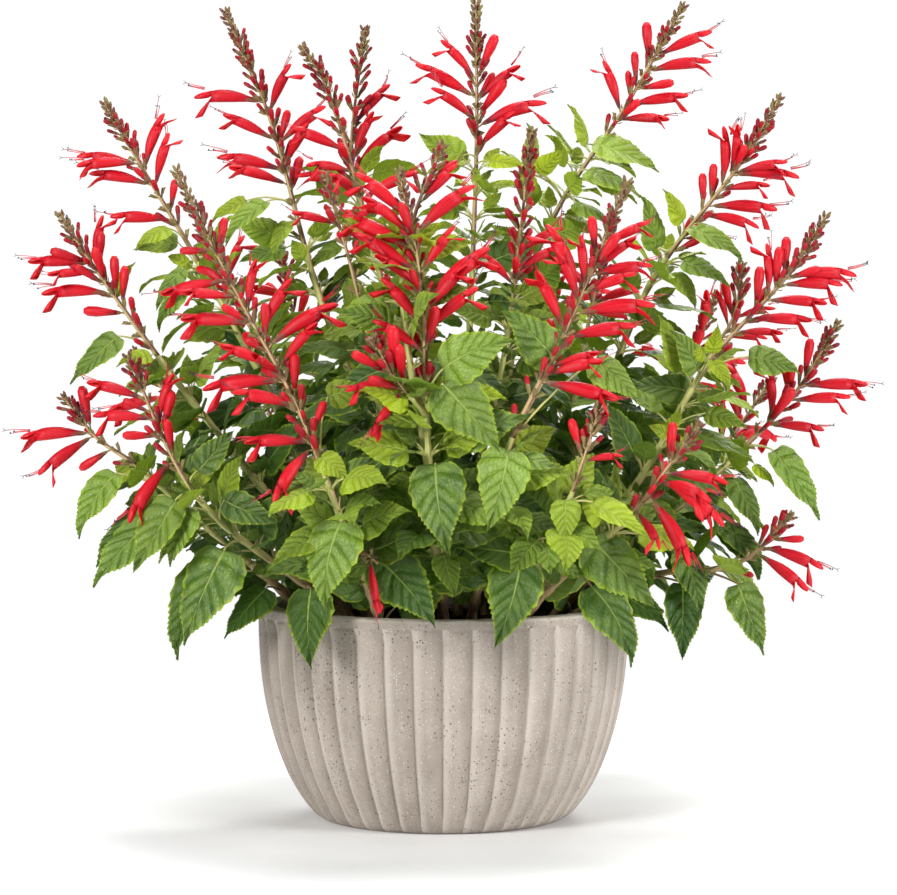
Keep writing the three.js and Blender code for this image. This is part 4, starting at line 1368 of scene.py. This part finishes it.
def grow_leaf(shoot, place, base, tip, up, youth, form):
    """A leaf on its stalk. It gets painted shade, darker and less lime, the nearer it grows to the heart of
    the bush. Gives its points.
    """
    dice = shoot.dice
    root = shoot.route.at(place)
    length = np.linalg.norm(tip - base)
    width = LEAF_WIDTH * dice.uniform(0.9, 1.08) * (0.86 if form is young_form else 1.0)
    fold = dice.uniform(0.05, 0.45)
    arch = dice.uniform(0.02, 0.10)
    curl = dice.uniform(0.0, 0.16)
    points, places = leaf_shape(form, base, tip, up, width, fold, arch, curl, QUILT_RELIEF, dice)
    # Painted shade: near the heart of the bush a leaf loses most of its lime and takes a darker green,
    # standing in for the shade among the leaves.
    inside = 1 - smooth(np.linalg.norm(base - HEART), HEART_NEAR, HEART_FAR)
    look = (youth * (1 - 0.7 * inside), dice.uniform(0.0, 0.5) + 0.9 * inside, dice.uniform())
    shoot.leaves.add(points, form["corners"], places, look, form["marks"])
    leave = unit(unit(base - root) + 0.5 * shoot.route.along(place))
    radius = STALK_RADIUS * (0.5 + 0.5 * length / LOW_LEAF_LENGTH)
    stalk(shoot.stem, root, base, leave, radius, form["stalk_sides"], (0.3, 0, dice.uniform()))
    taken.update(cells_of(points if form is young_form else points[::3]))
    return points


def outward(point):
    """Level direction from the middle of the pot to a point."""
    return unit(np.array([point[0], point[1], 0.0]) + 1e-9)


def try_points(base, tip, up):
    """A few points of a leaf, enough to see what it would touch."""
    ahead = tip - base
    side = unit(np.cross(up, ahead)) * np.linalg.norm(ahead) * 0.28
    share = np.array([0.15, 0.35, 0.55, 0.75, 1.0])[:, None]
    middle = base + share * ahead
    reach = half_width(share) * side
    return np.concatenate([middle, middle + reach, middle - reach])


def leaf_face(base, tip):
    """The way that a blade faces: up and out, square to its own length."""
    ahead = unit(tip - base)
    level = unit(np.array([*ahead[:2], 0.01]))
    return unit(np.array([0.0, 0.0, 0.6]) + 0.8 * outward(tip) + 0.35 * level)


for shoot in shoots.values():
    line = shoot.route.at(np.linspace(0, 1, 160))
    taken.update(cells_of(line))

for shoot in shoots.values():
    for place, base, tip in shoot.row.get("leaves", []):
        base, tip = np.array(base), np.array(tip)
        length = np.linalg.norm(tip - base)
        youth = 1 - smooth(length, YOUNG_LENGTH, GROWN_LENGTH)
        youth = float(youth + 0.25 * smooth(tip[2], CROWN_LOW, CROWN_HIGH))
        youth = min(youth + shoot.dice.uniform(0.0, 0.12), 1.0)
        face = unit(leaf_face(base, tip) + (0, -0.7, 0))
        blade = grow_leaf(shoot, place, base, tip, face, youth, near_form)
        for step in range(1, CLEAR_STEPS):
            kept_clear.update(cells_of(blade - (0, step * CELL, 0)))


def hides_rim(tip):
    """1 where a leaf would hang in front of the rim and the soil behind it, and 0 elsewhere."""
    return int(tip[1] < SKIRT_FRONT and tip[2] < SKIRT_TOP)


def grow_tuft(shoot, place, root, along, out):
    """The young shoot in the axil of a leaf: a spread pair of small leaves, and a smaller upright pair."""
    dice = shoot.dice
    for shortest, longest, spread, rise in ((0.024, 0.038, 1.0, 0.3), (0.013, 0.022, 0.45, 1.0)):
        for twin in (-1, 1):
            lean = unit(out * 0.6 + along * rise + twin * spread * np.cross(along, out))
            reach = dice.uniform(shortest, longest)
            start = root + (out + along) * 0.005 + lean * 0.006
            end = start + unit(lean + out * 0.3 + (0, 0, -0.25 * spread)) * reach
            face = unit(along + 0.7 * out + (0, -0.45, 0.2))
            youth = dice.uniform(0.0, 0.4) + 0.6 * smooth(root[2], 0.25, 0.42)
            if crowding(try_points(start, end, face)) + hides_rim(end) < MOST_CROWDED_TUFT:
                grow_leaf(shoot, place, start, end, face, youth, young_form)


def grow_pairs(shoot):
    """Pairs of leaves up a stem, each leaf turned to where there is most room, with a tuft of young
    leaves in each axil."""
    dice = shoot.dice
    side = unit(np.cross(shoot.route.along(0.05), (0.0, 1.0, 0.1)))
    for number, place in enumerate(shoot.nodes):
        root = shoot.route.at(place)
        along = shoot.route.along(place)
        level = unit(side - np.dot(side, along) * along)
        cross = np.cross(along, level)
        share = min(place / shoot.spike_start, 1.0)
        size = LOW_LEAF_LENGTH + (TOP_LEAF_LENGTH - LOW_LEAF_LENGTH) * share
        if place > shoot.spike_start:
            size *= 0.75
        youth = smooth(share, 0.65, 1.0) * 0.6 + dice.uniform(0, 0.25)
        for half_turn in (0, math.pi):
            best = None
            for attempt in range(TRIES):
                angle = half_turn + number * math.pi / 2 + dice.uniform(-0.6, 0.6) * (attempt > 0)
                out = math.cos(angle) * level + math.sin(angle) * cross
                out = unit(out + 0.35 * outward(root) + 0.15 * along)
                length = size * dice.uniform(0.8, 1.1)
                base = root + out * STALK_LENGTH * dice.uniform(0.75, 1.1) + along * 0.004
                droop = dice.uniform(0.25, 0.95) - 0.35 * share
                reach = unit(out + 0.15 * along + np.array([0, 0, -droop]))
                tip = base + reach * length
                full = crowding(try_points(base, tip, leaf_face(base, tip))) + hides_rim(tip)
                if best is None or full < best[0]:
                    best = (full, base, tip, out)
            full, base, tip, out = best
            if full < MOST_CROWDED_LEAF:
                grow_leaf(shoot, place, base, tip, leaf_face(base, tip), youth, common_form)
            grow_tuft(shoot, place, root, along, out)


for shoot in shoots.values():
    grow_pairs(shoot)


# Flower spikes
# Each shoot ends in a spike: a thin square axis with whorls of ribbed calyces on short stalks, tan to
# maroon. Red tube flowers open among them from the bottom up, with crimson buds above and small
# brown and green buds packed at the tip. Below the open flowers the calyces are spent and dry.
CALYX_LENGTH = 0.0100
PEDICEL_LENGTH = 0.0045
COROLLA_LENGTH = 0.046
TUBE_LENGTH = 0.033
HOOD_LENGTH = 0.013
PETAL_THICKNESS = 0.00025
FLOWER_STALK_RADIUS = 0.0007
LONG_BUD_LENGTHS = (0.020, 0.029)
BUD_LENGTHS = (0.010, 0.016)
STAMEN_START = 0.040
STAMEN_REACHES = (0.050, 0.055)
STAMEN_RADIUS = 0.00045
ANTHER_LENGTH = 0.0018
FIRST_WHORL = 0.005
WHORL_SPACING = 0.0125
TIP_SPACING = 0.0048
BUD_TOP = 0.86


def thicken(points, corners, depth):
    """A sheet made into a closed shape of the given thickness. Gives the points, faces and the sheet
    point that each point comes from."""
    first, second, third, fourth = (points[corners[:, k]] for k in range(4))
    across = np.cross(third - first, fourth - second)
    normals = np.zeros_like(points)
    for k in range(4):
        np.add.at(normals, corners[:, k], across)
    inner = points - unit(normals + 1e-12) * depth
    edges = np.stack([corners, np.roll(corners, -1, axis=1)], -1).reshape(-1, 2)
    edges = edges[edges[:, 0] != edges[:, 1]]
    back = {(b, a) for a, b in edges.tolist()}
    rim = np.array([edge for edge in edges.tolist() if tuple(edge) not in back])
    count = len(points)
    walls = np.stack([rim[:, 1], rim[:, 0], rim[:, 0] + count, rim[:, 1] + count], 1)
    faces = np.concatenate([corners, corners[:, ::-1] + count, walls])
    return np.concatenate([points, inner]), faces, np.tile(np.arange(count), 2)


def corolla_form(arch, gape):
    """An open flower from its foot in the calyx: a tube that swells and narrows again, a straight
    hooded upper lip, and a lower lip that hangs down. X is ahead and Z is its upper side. Arch bends
    it and gape opens it."""
    sides, wide = 12, 7
    turn = np.arange(sides) * 2 * math.pi / sides
    stations = np.array([0.003, 0.008, 0.013, 0.018, 0.023, 0.028, TUBE_LENGTH])
    heights = np.array([0.0013, 0.0020, 0.0030, 0.0038, 0.0042, 0.0043, 0.0041])
    rings = np.zeros((len(stations), sides, 3))
    rings[..., 0] = stations[:, None] + 0.0014 * np.cos(turn)[None] * (stations[:, None] == TUBE_LENGTH)
    rings[..., 1] = 0.82 * heights[:, None] * np.sin(turn)[None]
    rings[..., 2] = -heights[:, None] * np.cos(turn)[None] + 0.3 * (heights - heights[0])[:, None]
    numbers = np.arange(rings.size // 3).reshape(len(stations), sides)
    mouth = numbers[-1]
    points, grids = [rings.reshape(-1, 3)], [np.concatenate([numbers, numbers[:, :1]], 1)]
    places = [np.column_stack([np.cos(turn), np.sin(turn), [x / COROLLA_LENGTH] * sides]) for x in stations]
    spread = np.linspace(-1, 1, wide)

    # The hood, by shares of its length: its half width, and the heights of its middle and its edges
    hood = {
        0.25: (0.0029, 0.0039, -0.0006), 0.6: (0.0024, 0.0033, -0.0010),
        0.85: (0.0017, 0.0024, -0.0008), 1.0: (0.0007, 0.0011, -0.0004),
    }
    middle = 0.3 * (heights[-1] - heights[0])
    for share, (half, top, low) in hood.items():
        row = np.zeros((wide, 3))
        row[:, 0] = TUBE_LENGTH + HOOD_LENGTH * share
        row[:, 1] = half * np.sin(spread * math.pi / 2)
        row[:, 2] = middle + low + (top - low) * np.cos(spread * math.pi / 2)
        points.append(row)
        places.append(np.column_stack([-np.ones(wide), 0.4 * spread, row[:, 0] / COROLLA_LENGTH]))

    # The lower lip, by shares of its length: its half width. It hangs from the mouth over a knee.
    lip = {0.2: 0.0034, 0.45: 0.0034, 0.7: 0.0044, 0.9: 0.0042, 1.0: 0.0024}
    start, knee = np.array([0.0325, -0.0032]), np.array([0.0385, -0.0042])
    end = np.array([0.0415, -0.0150]) * gape + np.array([0.0460, -0.0075]) * (1 - gape)
    for share, half in lip.items():
        spot = (1 - share) ** 2 * start + 2 * share * (1 - share) * knee + share**2 * end
        row = np.zeros((wide, 3))
        hang = share * gape * math.pi / 2
        row[:, 0] = spot[0] - 0.0048 * math.sin(hang) * spread**2
        row[:, 1] = -half * spread
        row[:, 2] = spot[1] + (0.0034 * math.cos(hang) + 0.0010 * share) * spread**2
        points.append(row)
        places.append(np.column_stack([np.ones(wide), 0.4 * spread, np.full(wide, 0.74 + 0.26 * share)]))

    count = numbers.size
    for lobe, edge in ((hood, mouth[3:10]), (lip, mouth[[9, 10, 11, 0, 1, 2, 3]])):
        rows = count + np.arange(len(lobe) * wide).reshape(len(lobe), wide)
        grids.append(np.concatenate([[edge], rows]))
        count += rows.size
    points = np.concatenate(points)
    points[:, 2] -= arch * points[:, 0] ** 2 / COROLLA_LENGTH
    corners = np.concatenate([skin(grid) for grid in grids])
    thick, faces, source = thicken(points, corners, PETAL_THICKNESS)
    return thick, faces, np.concatenate(places)[source]


corolla_forms = [corolla_form(*shape) for shape in ((0.10, 1.0), (0.18, 0.9), (0.05, 0.7), (0.14, 0.45))]


def revolved(stations, radii, sides, tips=0.0):
    """A closed shape of round sections along X. Tips are the pointed lobes of its furthest ring."""
    turn = np.arange(sides) * 2 * math.pi / sides
    rings = np.zeros((len(stations), sides, 3))
    rings[..., 0] = np.asarray(stations)[:, None]
    rings[..., 1] = np.asarray(radii)[:, None] * np.sin(turn)
    rings[..., 2] = -np.asarray(radii)[:, None] * np.cos(turn)
    lobes = tips * np.clip(np.cos(turn * 3 + math.pi), 0, 1) ** 1.5
    furthest = int(np.argmax(stations))
    rings[furthest, :, 0] += lobes
    rings[furthest, :, 1:] *= (1 + 0.8 * lobes / max(tips, 0.01))[:, None]
    points, corners = close_rings(rings, (stations[0], 0, 0), (stations[-1], 0, 0))
    ring_places = np.zeros((len(stations), sides, 3))
    ring_places[..., 0] = np.cos(turn)
    ring_places[..., 1] = np.sin(turn)
    ring_places[..., 2] = np.maximum.accumulate(np.asarray(stations) / max(stations))[:, None]
    places = np.concatenate([[[0, 0, 0]], ring_places.reshape(-1, 3), [[0, 0, 1]]])
    return points, corners, places


cup_form = revolved([0, 0.15, 0.45, 0.84, 0.6], [0.07, 0.15, 0.19, 0.19, 0.12], 7, 0.18)
closed_form = revolved([0, 0.3, 0.7, 0.97], [0.07, 0.23, 0.2, 0.05], 5)
club_form = revolved([0, 0.3, 0.6, 0.85, 0.97], [0.07, 0.12, 0.165, 0.155, 0.08], 7)


def set_down(form, root, ahead, up, size, girth=1.0):
    """A flower part's points, with its foot at the root, pointing ahead, at a size."""
    points, corners, places = form
    face = unit(up - np.dot(up, ahead) * ahead)
    axes = np.array([ahead, np.cross(face, ahead) * girth, face * girth])
    return root + size * points @ axes, corners, places


petal, tree, shader = finish(
    "petal", Specular_IOR_Level=0.4,
    Sheen_Weight=0.12, Sheen_Roughness=0.35, Sheen_Tint=colour(255, 130, 150),
)
_, _, ahead, place = read_values(tree, "place")
depth = read_values(tree, "look")[0]
point = add_node(tree, "TexCoord", {}).outputs["Object"]
threads = clouds(tree, stretched(tree, place, (4.5, 4.5, 2.2)), 1.0, 3.0)
down = clouds(tree, point, 1400.0, 2.0)
tone = blend(tree, fade(tree, threads, 0.32, 0.72), colour(206, 4, 30), colour(236, 24, 46))
tone = blend(tree, fade(tree, ahead, 0.05, 0.4, 0.5, 0.0), tone, colour(160, 2, 28))
tone = blend(tree, fade(tree, ahead, 0.7, 1.0, 0.0, 0.35), tone, colour(240, 44, 50))
tone = blend(tree, depth, tone, colour(98, 4, 26))
dullness = fade(tree, threads, 0.3, 0.7, 0.36, 0.52)
height = calc(tree, "MULTIPLY_ADD", down, 0.35, threads)
cover(tree, shader, Base_Color=tone, Roughness=dullness, Normal=bump(tree, height, 0.0005, 0.8))
shine_through(tree, shader, 0.26, colour(255, 44, 40))

thread, tree, shader = finish("stamen_and_style", Roughness=0.45)
place = read_values(tree, "place")[3]
dark = read_values(tree, "look")[0]
grain = clouds(tree, stretched(tree, place, (2, 2, 900)), 1.0, 2.0)
darkness = fade(tree, calc(tree, "MULTIPLY_ADD", grain, 0.2, dark), 0.2, 0.9)
tone = blend(tree, darkness, colour(196, 40, 56), colour(66, 22, 44))
cover(tree, shader, Base_Color=tone, Normal=bump(tree, grain, 0.0001))

sepal, tree, shader = finish("calyx_and_bract", Roughness=0.6, Sheen_Weight=0.1)
around_x, around_y, ahead, _ = read_values(tree, "place")
flush, youth, paleness, _ = read_values(tree, "look")
angle = calc(tree, "ARCTAN2", around_y, around_x)
ribs = calc(tree, "SINE", calc(tree, "MULTIPLY", angle, 10.0))
point = add_node(tree, "TexCoord", {}).outputs["Object"]
mottle = clouds(tree, point, 700.0, 3.0)
tone = blend(tree, mottle, colour(146, 132, 70), colour(200, 182, 112))
tone = blend(tree, youth, tone, colour(150, 164, 64))
# Painted highlight: the calyx is painted lighter along its ribs, where their ridges catch the light.
tone = blend(tree, fade(tree, ribs, -0.2, 0.9, 0.0, 0.4), tone, colour(212, 190, 130))
towards_rim = fade(tree, calc(tree, "MULTIPLY_ADD", mottle, 0.5, ahead), 0.0, 0.75)
redness = calc(tree, "MULTIPLY", towards_rim, flush)
tone = blend(tree, redness, tone, colour(128, 12, 36))
tone = blend(tree, paleness, tone, colour(226, 196, 160))
dullness = fade(tree, mottle, 0.3, 0.7, 0.5, 0.7)
height = calc(tree, "MULTIPLY_ADD", mottle, 0.6, ribs)
cover(tree, shader, Base_Color=tone, Roughness=dullness, Normal=bump(tree, height, 0.0003))


def add_stamens(shoot, root, ahead, up, size):
    """Two stamens and a forked style that reach out from under the hood, dark at their tips."""
    dice = shoot.dice
    face = unit(up - np.dot(up, ahead) * ahead)
    across = np.cross(face, ahead)
    share = np.linspace(0, 1, 4)[:, None]
    bend = dice.uniform(-0.003, 0.004)
    for number in range(3):
        reach = dice.uniform(*STAMEN_REACHES) + 0.004 * (number == 0)
        sway = dice.uniform(-0.0018, 0.0018)
        rise = 0.0012 - 0.0008 * number + (bend + dice.uniform(-0.001, 0.001)) * share**2
        way = STAMEN_START + (reach - STAMEN_START) * share
        line = root + size * (ahead * way + face * rise + across * sway * share)
        points, corners, places = tube(line, np.linspace(STAMEN_RADIUS, 0.0003, 4) * size, 3)
        darkness = np.zeros_like(points)
        darkness[:, 0] = np.concatenate([[0], np.repeat((0, 0, 0.15, 1), 3), [1]])
        shoot.petals.add(points, corners, places, darkness, 1)
        head = line[-1]
        if number == 0:
            for fork in (-1, 1):
                prong = head + size * (ahead * 0.002 + face * fork * 0.0016) * np.array([[0.0], [1.0]])
                points, corners, places = tube(prong, np.array([0.0003, 0.0002]) * size, 3)
                shoot.petals.add(points, corners, places, (1, 0, 0), 1)
        else:
            anther = set_down(closed_form, head, unit(face - 0.4 * ahead), across, ANTHER_LENGTH * size, 1.1)
            shoot.petals.add(*anther, (1, 0, 0), 1)


# The stages of a flower, from oldest to youngest: the degrees that it spreads from the axis, and the
# size and redness of its calyx
stages = {
    "spent": {"spread": (22, 46), "calyx": 0.66, "redness": (0.0, 0.45)},
    "open": {"spread": (40, 72), "calyx": 1.0, "redness": (0.75, 1.0)},
    "long": {"spread": (24, 46), "calyx": 0.95, "redness": (0.7, 1.0)},
    "bud": {"spread": (20, 42), "calyx": 0.8, "redness": (0.35, 0.9)},
    "tight": {"spread": (20, 40), "calyx": 0.70, "redness": (0.2, 0.9)},
}


def add_flower(shoot, along, turn, kind, size, spread=None):
    """One flower on its stalk, at a place along a spike and at a turn round it, in degrees from the
    front. Kind is its stage."""
    dice, stage = shoot.dice, stages[kind]
    place = shoot.spike_start + (1 - shoot.spike_start) * along
    axis = shoot.route.along(place)
    root = shoot.route.at(place)
    front = np.array([0.0, -1.0, 0.0])
    front = unit(front - np.dot(front, axis) * axis)
    turn = math.radians(turn)
    radial = math.cos(turn) * front + math.sin(turn) * np.cross(axis, front)
    angle = math.radians(dice.uniform(*stage["spread"]) if spread is None else spread)
    ahead = unit(axis * math.cos(angle) + radial * math.sin(angle))
    foot = root + unit(axis * 0.9 + radial + ahead) * PEDICEL_LENGTH * size * stage["calyx"]
    middle = (root + foot) / 2 + radial * 0.0003
    points, corners, places = tube([root, middle, foot], FLOWER_STALK_RADIUS, 4)
    shoot.calyces.add(points, corners, places, (dice.uniform(0.0, 0.5), 1, 0), 1)
    length = CALYX_LENGTH * size * stage["calyx"]
    redness, youth = dice.uniform(*stage["redness"]), dice.uniform(0.1, 0.7)
    paleness = shoot.row.get("paleness", 0.0) * (kind == "tight") * dice.uniform(0.3, 1.0)
    calyx = set_down(closed_form if kind == "tight" else cup_form, foot, ahead, axis, length)
    shoot.calyces.add(*calyx, (redness, youth, paleness))
    inner = foot + ahead * length * 0.3
    if kind == "open":
        form = corolla_forms[dice.integers(len(corolla_forms))]
        top = axis + dice.uniform(-0.55, 0.55) * np.cross(axis, ahead)
        shoot.petals.add(*set_down(form, foot, ahead, top, size, 1.05), (dice.uniform(0, 0.14), 0, 0))
        add_stamens(shoot, foot, ahead, top, size)
        taken.update(cells_of([foot + ahead * x for x in (0.01, 0.018, 0.026, 0.034, 0.042)]))
    elif kind == "long":
        bud = set_down(club_form, inner, ahead, axis, size * dice.uniform(*LONG_BUD_LENGTHS), 0.92)
        shoot.petals.add(*bud, (dice.uniform(0.0, 0.25), 0, 0))
    elif kind == "bud":
        high = smooth(along, 0.5, 0.9)
        length = size * dice.uniform(*BUD_LENGTHS) * (1 - 0.25 * high)
        bud = set_down(club_form, inner, ahead, axis, length)
        shoot.petals.add(*bud, (dice.uniform(0.3, 0.7) + 0.3 * high, 0, 0))


bract_form = leaf_form(2, 1, np.array([-1, 0, 1]), 3, 0.6)


def add_bracts(shoot, along, turn, length):
    """A pair of small pointed bracts under a whorl."""
    place = shoot.spike_start + (1 - shoot.spike_start) * along
    axis, root = shoot.route.along(place), shoot.route.at(place)
    radial = unit(np.cross(axis, (math.sin(turn), math.cos(turn), 0.1)))
    look = (shoot.dice.uniform(0.2, 0.9), shoot.dice.uniform(0.0, 0.8), 0)
    for side in (-1, 1):
        base = root + radial * side * 0.001
        tip = base + unit(radial * side + axis * 1.2) * length
        points, places = leaf_shape(bract_form, base, tip, axis, 0.26, 0.5, -0.05, 0.0, 0.0, shoot.dice)
        places = np.stack([places[:, 0], np.zeros(len(places)), places[:, 2]], 1)
        shoot.calyces.add(points, bract_form["corners"], places, look)


# Shares of each stage in a whorl: where a spike's open flowers are listed, where they fall by chance,
# above and below the open flowers, and at the tip
whorl_shares = {
    "set": {"bud": 0.42, "spent": 0.26, "long": 0.12, None: 0.20},
    "chance": {"open": 0.13, "bud": 0.31, "spent": 0.26, "long": 0.12, None: 0.18},
    "above": {"bud": 0.80, "tight": 0.10, None: 0.10},
    "below": {"spent": 0.44, "bud": 0.16, None: 0.40},
    "tip": {"tight": 1.0},
}


def grow_spike(shoot):
    """The axis of a spike, its listed open flowers, and whorls of all the stages."""
    dice, row = shoot.dice, shoot.row
    length = row["spike"]
    share = np.linspace(0, 1, max(5, int(length / 0.010)) + 1)
    line = shoot.route.at(shoot.spike_start + (1 - shoot.spike_start) * share)
    points, corners, places = tube(line, shoot.neck * (1 - 0.55 * share), 8, 0.10)
    shoot.calyces.add(points, corners, places, (0.75, 1.0, 0), 1)
    flowers = row.get("flowers", [])
    for along, turn, spread, size in flowers:
        add_flower(shoot, along, turn, "open", size, spread)
    for along, turn, spread in row.get("clubs", []):
        add_flower(shoot, along, turn, "long", dice.uniform(0.9, 1.05), spread)
    opened = [along for along, *_ in flowers] or [0.12, 0.66]
    lowest, highest = min(opened) - 0.06, max(opened) + 0.03
    way = FIRST_WHORL + row.get("leafy", 0.0) * length
    turn = dice.uniform(0, 90)
    while way < length - 0.001:
        along = way / length
        if along > BUD_TOP:
            zone = "tip"
        elif along > highest:
            zone = "above"
        elif along < lowest:
            zone = "below"
        else:
            zone = "set" if flowers else "chance"
        kinds, shares = zip(*whorl_shares[zone].items())
        for quarter in range(4):
            kind = kinds[dice.choice(len(kinds), p=shares)]
            if kind:
                if kind == "open":
                    size = dice.uniform(0.82, 1.0)
                else:
                    size = (1.08 - 0.3 * along) * dice.uniform(0.88, 1.1)
                add_flower(shoot, along, turn + quarter * 90 + dice.uniform(-22, 22), kind, size)
        if along > 0.45:
            add_bracts(shoot, along, math.radians(turn + 45), 0.0075 - 0.003 * along)
        way += WHORL_SPACING + (TIP_SPACING - WHORL_SPACING) * smooth(along, 0.35, 0.9)
        turn += 45


for shoot in shoots.values():
    grow_spike(shoot)

for key, shoot in shoots.items():
    stem_node = f"side_shoot_{key}" if shoot.parent else f"leafy_stem_{key}"
    spike_node = f"side_shoot_{key}" if shoot.parent else f"flower_spike_{key}"
    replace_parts(shoot.stem.make(f"stem_{key}", "stem", [bark]), stem_node)
    if shoot.leaves.count:
        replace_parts(shoot.leaves.make(f"leaves_{key}", "leaf", [leaf_upper, leaf_lower]), stem_node)
    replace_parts(shoot.calyces.make(f"calyces_{key}", "calyx", [sepal, bark]), spike_node)
    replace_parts(shoot.petals.make(f"petals_{key}", "petal", [petal, thread]), spike_node)
